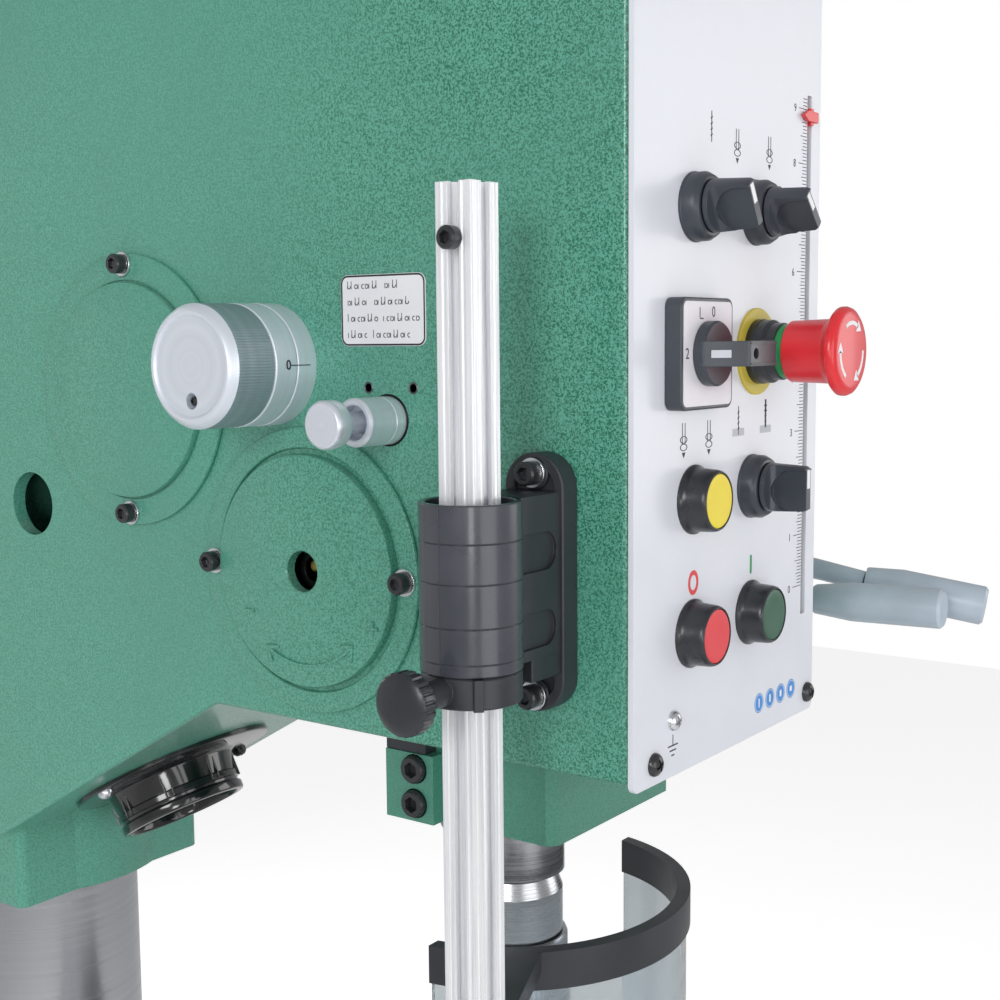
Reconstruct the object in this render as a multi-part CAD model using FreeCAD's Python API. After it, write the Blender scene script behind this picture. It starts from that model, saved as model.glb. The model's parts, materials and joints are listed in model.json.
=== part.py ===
import FreeCAD, Part
import math
import os
from FreeCAD import Placement, Rotation, Vector

# Floor-standing drill press with a geared head, in millimetres.
# +Z is up, the machine faces -Y, and X = 0, Y = 0 is the spindle axis. Z = 0 is the floor.
os.makedirs("parts", exist_ok=True)

RIGHT = Vector(1, 0, 0)
LEFT = Vector(-1, 0, 0)
BACK = Vector(0, 1, 0)
FRONT = Vector(0, -1, 0)
UP = Vector(0, 0, 1)
DOWN = Vector(0, 0, -1)

# Driving dimensions of the machine
THROAT = 390.0  # spindle axis to column axis
COLUMN_R = 60.0
BASE_TOP = 85.0
FOOT_TOP = 185.0
TABLE_TOP = 900.0
HEAD_W = 175.6
PANEL_FRONT = -123.0
PANEL_BOTTOM = 1330.0
PANEL_HEIGHT = 430.0
HEAD_TOP = 1770.0
LID_TOP = HEAD_TOP + 12.0
MOTOR_FLANGE_T = 14.0
QUILL_R = 37.5
QUILL_TRAVEL = 160.0

# Fits
RUN = 0.05  # radial clearance of a running fit
GAP = 0.3  # clearance between faces that pass each other

# Head casting
HALF_W = HEAD_W / 2
WALL = 8.0
PANEL_T = 2.5
HEAD_FRONT = PANEL_FRONT + PANEL_T
HEAD_BOTTOM = PANEL_BOTTOM + 3.0
CASTING_EDGE_R = 3.0
APEX_Y = 123.4  # where the level underside turns into the slanted one
SLANT = math.radians(29.6)
SLANT_END_Y = 311.0
COLLAR_FRONT = 317.0
COLLAR_HALF_W = 71.0
COLLAR_BOTTOM = 1174.0
WEB_BOTTOM = 1625.0
WEB_TOP = 1640.0
BORE_TOP = 1430.0

# Quill clamp under the head
CLAMP_BOTTOM = 1285.0
CLAMP_TOP = 1326.0
CLAMP_FRONT = -61.0
CLAMP_HALF_W = 54.0
EAR_FACE = -62.8
EAR_Y = (2.0, 31.0)
EAR_Z = (1286.0, 1319.5)
CLAMP_SCREW_Y = 13.0
CLAMP_SCREW_Z = (1312.0, 1295.0)

# Quill, spindle and chuck
QUILL_BOTTOM = 1272.0
QUILL_TOP = 1610.0
SPINDLE_R = 17.0
SPLINE_R = 13.5
SPLINE_ROOT_R = 11.0
SPINDLE_TOP = 1825.0
CHUCK_TOP = 1246.0
CHUCK_BOTTOM = 1130.0

# Rack and pinion of the quill, and of the table lift
MODULE = 2.5
PITCH = math.pi * MODULE
FEED_TEETH = 17
FEED_Y = 55.0
FEED_Z = PANEL_BOTTOM + 78.0
LIFT_TEETH = 14
LIFT_X = -89.5
LIFT_Z = 790.0
LIFT_Y = (381.0, 399.0)
WORM_Y = 411.0
WORM_Z = LIFT_Z - 27.5
PRESSURE_ANGLE = math.radians(20)
BACKLASH = 0.4

# Gear train from the motor to the spindle
SPINDLE_GEAR_TEETH = 44
COUNTER_PINION_TEETH = 16
COUNTER_GEAR_TEETH = 40
MOTOR_PINION_TEETH = 16
COUNTER_Y = MODULE * (SPINDLE_GEAR_TEETH + COUNTER_PINION_TEETH) / 2
MOTOR_Y = COUNTER_Y + MODULE * (COUNTER_GEAR_TEETH + MOTOR_PINION_TEETH) / 2
LOW_GEARS_Z = 1652.0
HIGH_GEARS_Z = 1690.0
GEAR_T = 20.0

# Table
TABLE_HALF_X = 210.0
TABLE_HALF_Y = 200.0
TABLE_T = 42.0
TILT_Z = LIFT_Z
TRUNNION_Y = (88.0, 108.0)
TRUNNION_R = 58.0
SLOT_X = 95.0

# Spindle guard
GUARD_X = -HALF_W - 54.0
GUARD_Y = -82.0
GUARD_TUBE_R = 20.3
GUARD_TUBE_BORE_R = 17.5
BAR_W = 17.5
BAR_TOP = PANEL_BOTTOM + 245.0
SHIELD_R = 85.0


def on_head(x, y, z):
    """A point on the head, measured from the lower left front corner of the control panel."""
    return Vector(x - HALF_W, PANEL_FRONT + y, PANEL_BOTTOM + z)


def box(x, y, z):
    """A block between pairs of low and high coordinates."""
    return Part.makeBox(x[1] - x[0], y[1] - y[0], z[1] - z[0], Vector(x[0], y[0], z[0]))


def rod(start, axis, radius, length):
    return Part.makeCylinder(radius, length, start, axis)


def ring(start, axis, outer, inner, length):
    return rod(start, axis, outer, length).cut(rod(start, axis, inner, length))


def placed(shape, start, axis):
    """Moves a shape that was made along +Z at the origin."""
    moved = shape.copy()
    moved.Placement = Placement(start, Rotation(UP, axis))
    return moved


def turned(profile, start, axis):
    """A turned piece: profile is a closed outline of (radius, distance along the axis) points."""
    points = [Vector(radius, 0, height) for radius, height in profile]
    outline = Part.Face(Part.makePolygon(points + points[:1]))
    return placed(outline.revolve(Vector(0, 0, 0), UP, 360), start, axis)


def prism(points, direction):
    return Part.Face(Part.makePolygon(points + points[:1])).extrude(direction)


def joined(*shapes):
    return shapes[0].fuse(list(shapes[1:])).removeSplitter()


def cut(shape, *tools):
    return shape.cut(list(tools))


def edges_along(shape, axis):
    """Straight edges that run along an axis."""
    found = []
    for edge in shape.Edges:
        if isinstance(edge.Curve, Part.Line) and abs(edge.tangentAt(edge.FirstParameter).dot(axis)) > 0.999:
            found.append(edge)
    return found


def rounded(shape, axis, radius):
    """Rounds all edges of a shape that run along an axis."""
    return shape.makeFillet(radius, edges_along(shape, axis))


def involute_gear(teeth, width, phase):
    """A spur gear along +Z from the origin, with a tooth centred at the angle phase."""
    pitch_r = MODULE * teeth / 2
    base_r = pitch_r * math.cos(PRESSURE_ANGLE)
    tip_r = pitch_r + MODULE
    root_r = pitch_r - 1.25 * MODULE
    start_r = max(base_r, root_r)
    radii = [start_r + (tip_r - start_r) * step / 4 for step in range(5)]

    def half_angle(radius):
        roll = math.acos(min(1.0, base_r / radius))
        at_pitch = math.pi / (2 * teeth) - BACKLASH / (2 * pitch_r)
        return at_pitch + math.tan(PRESSURE_ANGLE) - PRESSURE_ANGLE - (math.tan(roll) - roll)

    outline = []
    for tooth in range(teeth):
        centre = phase + 2 * math.pi * tooth / teeth
        flank = [(root_r, half_angle(start_r))] + [(radius, half_angle(radius)) for radius in radii]
        if root_r >= start_r:
            flank = flank[1:]
        for radius, angle in flank:
            outline.append((radius, centre - angle))
        for radius, angle in reversed(flank):
            outline.append((radius, centre + angle))
    points = [Vector(radius * math.cos(angle), radius * math.sin(angle), 0) for radius, angle in outline]
    return prism(points, UP * width)


def rack_gap_half_widths():
    """Half widths of the gap between two rack teeth, at the root and at the tip."""
    at_pitch = PITCH / 4 + BACKLASH / 4
    at_root = at_pitch - 1.25 * MODULE * math.tan(PRESSURE_ANGLE)
    at_tip = at_pitch + MODULE * math.tan(PRESSURE_ANGLE)
    return at_root, at_tip


def hexagon_hole(start, axis, across_flats, depth):
    """The hexagon socket of a cap screw, to be cut from its head."""
    corner_r = across_flats / math.sqrt(3)
    points = []
    for corner in range(6):
        angle = math.radians(60 * corner)
        points.append(Vector(corner_r * math.cos(angle), corner_r * math.sin(angle), 0))
    return placed(prism(points, UP * depth), start, axis)


def cap_screw(seat, outward, size, shank, washer_r):
    """A hexagon socket screw whose head stands on a washer at seat. Its head is size high."""
    washer_t = 1.6 if washer_r else 0.0
    head_start = seat + outward * washer_t
    head = rod(head_start, outward, 0.83 * size, size)
    socket = hexagon_hole(seat + outward * (washer_t + 0.45 * size), outward, 0.83 * size, 0.6 * size)
    solids = [cut(joined(head, rod(head_start, outward * -1, size / 2, shank)), socket)]
    if washer_r:
        solids.append(ring(seat, outward, washer_r, size / 2 + 0.1, washer_t))
    return solids


def save(name, *solids):
    """Writes one sub-part as parts/NAME.step."""
    shape = solids[0] if len(solids) == 1 else Part.makeCompound(list(solids))
    for solid in shape.Solids:
        assert solid.isValid(), name
    shape.exportStep(f"parts/{name}.step")


# ---------------------------------------------------------------- base and column

BASE_HALF_X = 235.0
BASE_Y = (-190.0, 510.0)
BOLT_X = 195.0
BOLT_Y = (-150.0, 470.0)


def base_casting():
    """Cast base, hollow below, with ribs, T-slots and a bolt hole in each corner."""
    body = rounded(box((-BASE_HALF_X, BASE_HALF_X), BASE_Y, (0, BASE_TOP)), UP, 30)
    hollow = box((-BASE_HALF_X + 16, BASE_HALF_X - 16), (BASE_Y[0] + 16, BASE_Y[1] - 16), (-1, BASE_TOP - 36))
    keep = [
        box((-15, 15), BASE_Y, (0, BASE_TOP)),
        box((-BASE_HALF_X, BASE_HALF_X), (-15, 15), (0, BASE_TOP)),
        box((-BASE_HALF_X, BASE_HALF_X), (225, 255), (0, BASE_TOP)),
        rod(Vector(0, THROAT, 0), UP, 90, BASE_TOP),
    ]
    for x in (-BOLT_X, BOLT_X):
        for y in BOLT_Y:
            keep.append(rod(Vector(x, y, 0), UP, 32, BASE_TOP))
    body = cut(body, cut(hollow, *keep))
    tools = []
    for x in (-BOLT_X, BOLT_X):
        for y in BOLT_Y:
            tools.append(rod(Vector(x, y, 0), UP, 9, BASE_TOP))
            tools.append(rod(Vector(x, y, BASE_TOP - 20), UP, 17, 25))
    for x in (-SLOT_X, SLOT_X):
        tools.append(box((x - 8, x + 8), (BASE_Y[0] - 1, 250), (BASE_TOP - 16, BASE_TOP + 1)))
        tools.append(box((x - 14, x + 14), (BASE_Y[0] - 1, 250), (BASE_TOP - 28, BASE_TOP - 16)))
    return cut(body, *tools)


def column_foot():
    """Flanged socket that holds the column, with four ribs."""
    axis_at = Vector(0, THROAT, BASE_TOP)
    height = FOOT_TOP - BASE_TOP
    foot_profile = [(COLUMN_R, 0), (112, 0), (112, 20), (84, 26), (78, height), (COLUMN_R, height)]
    solid = turned(foot_profile, axis_at, UP)
    for quarter in range(4):
        rib_side = [(70, 20), (106, 20), (78, 80), (70, 80)]
        rib = prism([Vector(x, -7, z) for x, z in rib_side], Vector(0, 14, 0))
        rib.Placement = Placement(axis_at, Rotation(UP, 90 * quarter))
        solid = solid.fuse(rib)
    return solid.removeSplitter()


save("base", base_casting())
save("column_foot", column_foot())
save("column", ring(Vector(0, THROAT, BASE_TOP), UP, COLUMN_R, COLUMN_R - 10, 1755 - BASE_TOP))


# ---------------------------------------------------------------- head casting

LEFT_FACE = -HALF_W
RIGHT_FACE = HALF_W
UPPER_COVER = (178.5, PANEL_BOTTOM + 161.5)
SPRING_COVER = (FEED_Y, FEED_Z)
DIAL = (76.5, PANEL_BOTTOM + 175.1)
DRIFT = (4.5, PANEL_BOTTOM + 150.4)
SIDE_HOLE = (265.7, PANEL_BOTTOM + 97.2)
TAPPED_HOLES = [(15.9, PANEL_BOTTOM + 164.9), (-10.2, PANEL_BOTTOM + 164.9)]
SPEED_LEVERS = [(10.0, 1705.0), (150.0, 1705.0)]
SPRING_CUP_R = 52.0
SPRING_CUP_DEPTH = 20.0


def slant_z(y, lift):
    """Height of the slanted underside at y, raised by lift square to the slope."""
    return HEAD_BOTTOM - (y - APEX_Y) * math.tan(SLANT) + lift / math.cos(SLANT)


def head_outline(inset, z0, z1):
    """The head seen from above: a rectangle with a round end about the column."""
    half = HALF_W - inset
    front = box((-half, half), (HEAD_FRONT + inset, THROAT), (z0, z1))
    return joined(front, rod(Vector(0, THROAT, z0), UP, half, z1 - z0))


def head_cavity():
    """The space inside the head. It follows the level and the slanted underside."""
    floor_t = 15.0
    lift = 12.0
    turn_y = APEX_Y - (floor_t - lift / math.cos(SLANT)) / math.tan(SLANT)
    back_y = THROAT - COLUMN_R - 20
    profile = [
        (HEAD_FRONT + WALL, HEAD_BOTTOM + floor_t),
        (turn_y, HEAD_BOTTOM + floor_t),
        (back_y, slant_z(back_y, lift)),
        (back_y, HEAD_TOP + 1),
        (HEAD_FRONT + WALL, HEAD_TOP + 1),
    ]
    half = HALF_W - WALL
    return prism([Vector(-half, y, z) for y, z in profile], Vector(2 * half, 0, 0))


def outside_edges(body):
    """The upright edges at the front, and the edges round the level and the slanted underside."""
    found = []
    for edge in body.Edges:
        middle = edge.CenterOfMass
        upright = abs(middle.y - HEAD_FRONT) < 1 and edge.Length > 400
        underside = middle.z < HEAD_BOTTOM + 1 and middle.y < SLANT_END_Y - 1 and abs(middle.x) > HALF_W - 1
        front = abs(middle.y - HEAD_FRONT) < 1 and middle.z < HEAD_BOTTOM + 1
        if upright or underside or front:
            found.append(edge)
    return found


def head_casting():
    """Head: gearbox, quill bore and column collar in one casting."""
    full_w = Vector(HEAD_W, 0, 0)
    body = head_outline(0, COLLAR_BOTTOM, HEAD_TOP)
    under = [
        (HEAD_FRONT - 1, HEAD_BOTTOM),
        (APEX_Y, HEAD_BOTTOM),
        (SLANT_END_Y, slant_z(SLANT_END_Y, 0)),
        (THROAT + HALF_W + 1, slant_z(SLANT_END_Y, 0)),
        (THROAT + HALF_W + 1, COLLAR_BOTTOM - 1),
        (HEAD_FRONT - 1, COLLAR_BOTTOM - 1),
    ]
    body = cut(body, prism([Vector(LEFT_FACE, y, z) for y, z in under], full_w))
    body = body.makeFillet(CASTING_EDGE_R, outside_edges(body))
    body = cut(body, head_cavity())
    collar_h = slant_z(SLANT_END_Y, 0) - COLLAR_BOTTOM
    collar_z = (COLLAR_BOTTOM, COLLAR_BOTTOM + collar_h)
    collar_box = box((-COLLAR_HALF_W, COLLAR_HALF_W), (COLLAR_FRONT, THROAT + 60), collar_z)
    collar_box = rounded(collar_box, UP, 6)
    collar = joined(collar_box, rod(Vector(0, THROAT, COLLAR_BOTTOM), UP, COLLAR_HALF_W + 8, collar_h))
    web = box((-HALF_W + 1, HALF_W - 1), (-60, THROAT - COLUMN_R), (WEB_BOTTOM, WEB_TOP))
    quill_boss = rod(Vector(0, 0, HEAD_BOTTOM), UP, 50, BORE_TOP - HEAD_BOTTOM)
    boss_ribs = box((-HALF_W + 1, HALF_W - 1), (-6, 6), (HEAD_BOTTOM + 1, BORE_TOP - 20))
    spring_boss = rod(Vector(LEFT_FACE + 1, FEED_Y, FEED_Z), RIGHT, SPRING_CUP_R + 6, SPRING_CUP_DEPTH + 5)
    shaft_boss = rod(Vector(RIGHT_FACE - 1, FEED_Y, FEED_Z), LEFT, 30, 26)
    body = joined(body, collar, web, quill_boss, boss_ribs, spring_boss, shaft_boss)
    tools = [
        rod(Vector(0, THROAT, COLLAR_BOTTOM - 1), UP, COLUMN_R, 700),
        rod(Vector(0, 0, HEAD_BOTTOM - 1), UP, QUILL_R + RUN, BORE_TOP - HEAD_BOTTOM + 2),
        rod(Vector(0, 0, WEB_BOTTOM - 1), UP, 25 + RUN, 20),
        rod(Vector(0, COUNTER_Y, WEB_BOTTOM + 5), UP, 10 + RUN, 20),
        rod(Vector(0, MOTOR_Y, WEB_BOTTOM + 5), UP, 10 + RUN, 20),
        rod(Vector(-100, FEED_Y, FEED_Z), RIGHT, 12 + RUN, 200),
        rod(Vector(-14, FEED_Y, FEED_Z), RIGHT, 25.5, 28),
        rod(Vector(LEFT_FACE - 1, FEED_Y, FEED_Z), RIGHT, SPRING_CUP_R, SPRING_CUP_DEPTH + 1),
        rod(Vector(LEFT_FACE - 1, *UPPER_COVER), RIGHT, 46, WALL + 2),
        rod(Vector(LEFT_FACE - 1, *DIAL), RIGHT, 8 + RUN, WALL + 2),
        rod(Vector(LEFT_FACE - 1, *DRIFT), RIGHT, 5 + RUN, WALL + 2),
        rod(Vector(LEFT_FACE - 1, *SIDE_HOLE), RIGHT, 17.6, WALL + 2),
        box((-72, 80), (HEAD_FRONT - 1, HEAD_FRONT + WALL + 1), (PANEL_BOTTOM + 20, PANEL_BOTTOM + 410)),
    ]
    for y, z in TAPPED_HOLES:
        tools.append(rod(Vector(LEFT_FACE - 1, y, z), RIGHT, 2, 7))
    for y, z in SPEED_LEVERS:
        tools.append(rod(Vector(RIGHT_FACE + 1, y, z), LEFT, 8 + RUN, WALL + 2))
    return cut(body, *tools)


def top_cover():
    """Lid of the gearbox, with the motor seat and the tube over the top of the spindle."""
    plate = head_outline(0, HEAD_TOP, LID_TOP)
    cap = turned(
        [(0, 0), (32, 0), (32, 70), (28, 76), (0, 76)],
        Vector(0, 0, LID_TOP),
        UP,
    )
    boss = rod(Vector(0, COUNTER_Y, HEAD_TOP + 1), DOWN, 18, 26)
    solid = joined(plate, cap, boss)
    return cut(
        solid,
        rod(Vector(0, 0, HEAD_TOP - 1), UP, 22, 75),
        rod(Vector(0, COUNTER_Y, HEAD_TOP - 30), UP, 10 + RUN, 27),
        rod(Vector(0, MOTOR_Y, HEAD_TOP - 1), UP, 24, 20),
    )


save("head_casting", head_casting())
save("top_cover", top_cover())


# ---------------------------------------------------------------- controls on the panel

RED = (49.4, 59.3)
GREEN = (105.1, 59.8)
YELLOW = (50.4, 117.3)
LOWER_SELECTOR = (105.2, 118.4)
LEFT_SELECTOR = (49.7, 240.4)
RIGHT_SELECTOR = (106.6, 241.6)
ESTOP = (108.1, 179.6)
MAIN_SWITCH = (47.0, 179.4)
BUTTONS = {"red_button": RED, "green_button": GREEN, "yellow_button": YELLOW}
SELECTORS = {
    "lower_selector": (LOWER_SELECTOR, 0),
    "left_selector": (LEFT_SELECTOR, 30),
    "right_selector": (RIGHT_SELECTOR, 45),
}
SCALE_SLOT_X = (160.7, 165.7)
SCALE_SLOT_Z = (50.0, 300.0)
POINTER_Z = 290.0
HOLE_R = 11.15
BUSH_R = 11.0
CAP_R = 11.7


def on_panel(place, out):
    """A point over the panel: place is (across, up) from its lower left corner, out is towards the front."""
    return on_head(place[0], -out, place[1])


def control_panel():
    """Front plate with the holes of the controls and the slot of the depth scale."""
    low = on_head(0, 0, 0)
    plate = box((low.x, low.x + HEAD_W), (low.y, low.y + PANEL_T), (low.z, low.z + PANEL_HEIGHT))
    plate = rounded(plate, FRONT, 4)
    tools = []
    selector_places = [place for place, angle in SELECTORS.values()]
    for place in list(BUTTONS.values()) + selector_places + [ESTOP, MAIN_SWITCH]:
        tools.append(rod(on_panel(place, 1), BACK, HOLE_R, PANEL_T + 2))
    slot_low = on_head(SCALE_SLOT_X[0], -1, SCALE_SLOT_Z[0])
    slot_high = on_head(SCALE_SLOT_X[1], PANEL_T + 1, SCALE_SLOT_Z[1])
    tools.append(box((slot_low.x, slot_high.x), (slot_low.y, slot_high.y), (slot_low.z, slot_high.z)))
    return cut(plate, *tools)


def button_bezel(place):
    """Black ring of a push-button, with the threaded bush that holds it in the panel."""
    bore = CAP_R + 0.1
    profile = [(bore, 0), (14.7, 0), (14.7, 1.2), (13.6, 1.6), (13.3, 11.5), (12.4, 12.5), (bore, 12.5)]
    outer = turned(profile, on_panel(place, 0), FRONT)
    bush = ring(on_panel(place, 0), BACK, BUSH_R, 7.0, 22)
    seat = ring(on_panel(place, 0), FRONT, CAP_R + 0.5, 7.0, 1.2)
    return joined(outer, bush, seat)


def button_cap(place):
    """Coloured cap with its plunger. It stands 0.3 under the bezel's rim at rest."""
    profile = [(0, 12.3), (10.9, 12.3), (CAP_R, 11.7), (CAP_R, 6.2), (4, 6.2), (4, -16), (0, -16)]
    return turned(profile, on_panel(place, 0), FRONT)


def selector_bezel(place):
    profile = [(9.6, 0), (14.5, 0), (14.5, 7.5), (13.5, 8.5), (9.6, 8.5)]
    outer = turned(profile, on_panel(place, 0), FRONT)
    bush = ring(on_panel(place, 0), BACK, BUSH_R, 7.0, 22)
    seat = ring(on_panel(place, 0), FRONT, 10.5, 7.0, 1.2)
    return joined(outer, bush, seat)


def selector_knob(place, angle):
    """Turning knob with a wing that points up, turned by angle towards the left."""
    stem = turned(
        [(0, -16), (4, -16), (4, 2), (9.5, 2), (9.5, 8.8), (11.5, 8.8), (11.5, 14), (10.5, 15), (0, 15)],
        Vector(0, 0, 0),
        FRONT,
    )
    wing = rounded(box((-4, 4), (-29, -14), (-9.8, 11.4)), RIGHT, 2.5)
    knob = joined(stem, wing)
    knob.Placement = Placement(on_panel(place, 0), Rotation(FRONT, angle))
    return knob


def estop_base():
    """Yellow ring, black collar and neck, and the fixed post that the head slides over."""
    plate = ring(on_panel(ESTOP, 0), FRONT, 19.6, 12.0, 1.5)
    profile = [
        (5.3, 0), (14.5, 0), (14.5, 9.2), (13.8, 10), (12.8, 10), (12.8, 16), (12.0, 16), (12.0, 24),
        (5.3, 24),
    ]
    body = turned(profile, on_panel(ESTOP, 0), FRONT)
    bush = ring(on_panel(ESTOP, 0), BACK, BUSH_R, 5.3, 22)
    return joined(plate, body, bush)


def estop_head():
    """Red head: a skirt over the post, then the mushroom."""
    profile = [
        (12.3, 20), (13.6, 20), (14.2, 38.4), (15.2, 39.8), (18.8, 41.2), (19.5, 42.4), (19.5, 44.5),
        (18.3, 46),
        (0, 46), (0, 36.3), (5.0, 36.3), (5.0, 28), (12.3, 28),
    ]
    return turned(profile, on_panel(ESTOP, 0), FRONT)


def switch_plate():
    """Square plate of the main switch."""
    low = on_panel((MAIN_SWITCH[0] - 22.75, MAIN_SWITCH[1] - 23.25), 0)
    plate = box((low.x, low.x + 45.5), (low.y - 8, low.y), (low.z, low.z + 46.5))
    plate = rounded(plate, FRONT, 4)
    bush = rod(on_panel(MAIN_SWITCH, 1), BACK, BUSH_R, 22)
    return cut(joined(plate, bush), rod(on_panel(MAIN_SWITCH, 9), BACK, 4 + RUN, 25))


def switch_knob():
    """Disc with a bar handle that slopes up from the left and overhangs to the right."""
    disc = rod(Vector(0, -8.3, 0), FRONT, 13.5, 4)
    shaft = rod(Vector(0, -8.4, 0), BACK, 4, 22)
    handle_side = [(-13, -12), (-13, -13.5), (-4, -29.4), (21.8, -29.4), (21.8, -22), (13, -12)]
    handle = prism([Vector(x, y, -5.2) for x, y in handle_side], Vector(0, 0, 10.4))
    knob = joined(disc, shaft, handle)
    knob.Placement = Placement(on_panel(MAIN_SWITCH, 0), Rotation())
    return knob


def contact_block(place):
    """Switch body behind the panel, with the ring nut that clamps the control."""
    nut = ring(on_panel(place, -PANEL_T), BACK, 14, BUSH_R + RUN, 4)
    start = on_panel(place, 0)
    body = box((start.x - 14, start.x + 14), (start.y + 22, start.y + 48), (start.z - 14, start.z + 14))
    return [nut, body]


def depth_pointer():
    """Pointer of the depth scale: a flag in front of the panel on a stem through the slot."""
    slot_mid = (SCALE_SLOT_X[0] + SCALE_SLOT_X[1]) / 2
    at = on_panel((slot_mid, POINTER_Z), 0)
    stem = box((at.x - 1.7, at.x + 1.7), (at.y - 0.8, at.y + 7), (at.z - 4, at.z + 4))
    flag_side = [(-11, 0), (-6, -2.5), (5, -2.5), (5, 2.5), (-6, 2.5)]
    flag = prism([Vector(at.x + x, at.y - 0.5, at.z + z) for x, z in flag_side], Vector(0, -2, 0))
    slide = box((at.x - 4, at.x + 3.5), (at.y + 4, at.y + 12), (at.z - 6, at.z + 6))
    return joined(flag, stem, slide)


save("control_panel", control_panel())
for name, place in BUTTONS.items():
    save(name, button_cap(place))
for name, (place, angle) in SELECTORS.items():
    save(name, selector_knob(place, angle))
bezels = [button_bezel(place) for place in BUTTONS.values()]
bezels += [selector_bezel(place) for place, angle in SELECTORS.values()]
save("control_bezels", *bezels)
save("estop_base", estop_base())
save("estop_stem", turned([(0, -18), (4.9, -18), (4.9, 36), (0, 36)], on_panel(ESTOP, 0), FRONT))
save("estop_head", estop_head())
save("switch_plate", switch_plate())
save("switch_knob", switch_knob())
blocks = []
for place in list(BUTTONS.values()) + [place for place, angle in SELECTORS.values()] + [ESTOP, MAIN_SWITCH]:
    blocks += contact_block(place)
save("contact_blocks", *blocks)
save("depth_pointer", depth_pointer())


# ---------------------------------------------------------------- left side of the head

COVER_SCREWS = [
    (UPPER_COVER[0], PANEL_BOTTOM + 226.0),
    (UPPER_COVER[0], PANEL_BOTTOM + 98.0),
    (FEED_Y + 61.0, FEED_Z),
    (FEED_Y - 61.0, FEED_Z),
]
BRACKET_SCREW_Z = (PANEL_BOTTOM + 131.7, PANEL_BOTTOM + 38.8)
LID_SCREW_Y = (-104.0, 40.0, 250.0, 400.0)
DIAL_R = 28.8
LAMP_Y = 257.6
LAMP_AXIS = Vector(0, -math.sin(SLANT), -math.cos(SLANT))
LAMP_AT = Vector(0, LAMP_Y, slant_z(LAMP_Y, 0))
LAMP_SCREW_X = 51.0


def upper_cover():
    """Round cover plate with a thin flange and a raised middle."""
    profile = [
        (0, 0), (69.8, 0), (69.8, 2), (69, 2.6), (56.2, 2.6), (55.4, 3.4), (55.4, 5), (54.6, 5.8),
        (0, 5.8),
    ]
    return turned(profile, Vector(LEFT_FACE, *UPPER_COVER), LEFT)


def spring_cover():
    """Cover of the return spring, with a groove inside its flange and a hole over the shaft end."""
    profile = [
        (9.7, 0), (68.2, 0), (68.2, 2), (67.4, 2.6), (58.2, 2.6), (57.4, 1.4), (55.4, 1.4), (55.4, 5),
        (54.6, 5.8), (9.7, 5.8),
    ]
    return turned(profile, Vector(LEFT_FACE, *SPRING_COVER), LEFT)


def return_spring():
    """Flat spiral spring in the cup behind its cover."""
    turns = 3
    steps = 48
    inner_r, outer_r, strip = 16.0, 48.0, 1.2
    near, far = [], []
    for step in range(steps + 1):
        angle = 2 * math.pi * turns * step / steps
        radius = inner_r + (outer_r - inner_r) * step / steps
        near.append(Vector(radius * math.cos(angle), radius * math.sin(angle), 0))
        far.append(Vector((radius + strip) * math.cos(angle), (radius + strip) * math.sin(angle), 0))
    inner = Part.BSplineCurve()
    inner.interpolate(near)
    outer = Part.BSplineCurve()
    outer.interpolate(far)
    outline = Part.Wire(
        [inner.toShape(), Part.makeLine(near[-1], far[-1]), outer.toShape(), Part.makeLine(far[0], near[0])]
    )
    return placed(Part.Face(outline).extrude(UP * 12), Vector(LEFT_FACE + 3, *SPRING_COVER), RIGHT)


def feed_dial():
    """Knurled knob that selects the feed."""
    start = Vector(LEFT_FACE - 12 - GAP, *DIAL)
    profile = [
        (0, 0), (28.6, 0), (28.6, 13.2), (28.2, 13.5), (28.2, 36), (26.6, 39), (24.6, 40), (23.4, 40),
        (22.5, 38.8),
        (0, 38.8),
    ]
    knob = joined(turned(profile, start, LEFT), rod(start, RIGHT, 8, 30))
    return cut(knob, rod(start + Vector(-42, 0, -15.5), RIGHT, 3.4, 8))


def drift_sleeve():
    """Turned sleeve that guides the drift plunger, with a counterbore at its mouth."""
    profile = [
        (5 + RUN, 0), (11.5, 0), (11.5, 1.2), (10.8, 1.6), (10.8, 23), (9.6, 24), (7.6, 24), (7.6, 18),
        (5 + RUN, 18),
    ]
    return turned(profile, Vector(LEFT_FACE, *DRIFT), LEFT)


def drift_knob():
    """Plunger with a mushroom head. It pushes in to free the tool from the taper."""
    profile = [
        (0, -26), (5, -26), (5, 33), (7, 34.5), (10, 35.5), (10.6, 37), (10.6, 42.5), (9.6, 44), (0, 44),
    ]
    return turned(profile, Vector(LEFT_FACE, *DRIFT), LEFT)


def quill_clamp():
    """Split clamp block round the quill, with an ear for its two screws."""
    z = (CLAMP_BOTTOM, CLAMP_TOP)
    front = box((-CLAMP_HALF_W, CLAMP_HALF_W), (CLAMP_FRONT, 0), z)
    front = front.makeChamfer(4.5, [edge for edge in edges_along(front, UP) if edge.CenterOfMass.y < -50])
    back = rod(Vector(0, 0, z[0]), UP, CLAMP_HALF_W, z[1] - z[0])
    ear = box((EAR_FACE, -40), EAR_Y, EAR_Z)
    neck = rod(Vector(0, 0, CLAMP_TOP - 1), UP, 46, HEAD_BOTTOM - CLAMP_TOP + 1)
    solid = joined(front, back, ear, neck)
    tools = [rod(Vector(0, 0, z[0] - 1), UP, QUILL_R + RUN, 60)]
    tools.append(box((-52, -49.5), (EAR_Y[0] - 1, 40), (EAR_Z[0] - 2, EAR_Z[1] + 1)))
    for screw_z in CLAMP_SCREW_Z:
        tools.append(rod(Vector(EAR_FACE - 1, CLAMP_SCREW_Y, screw_z), RIGHT, 7.2, 5.5))
        tools.append(rod(Vector(EAR_FACE, CLAMP_SCREW_Y, screw_z), RIGHT, 4, 20))
    return cut(solid, *tools)


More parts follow.
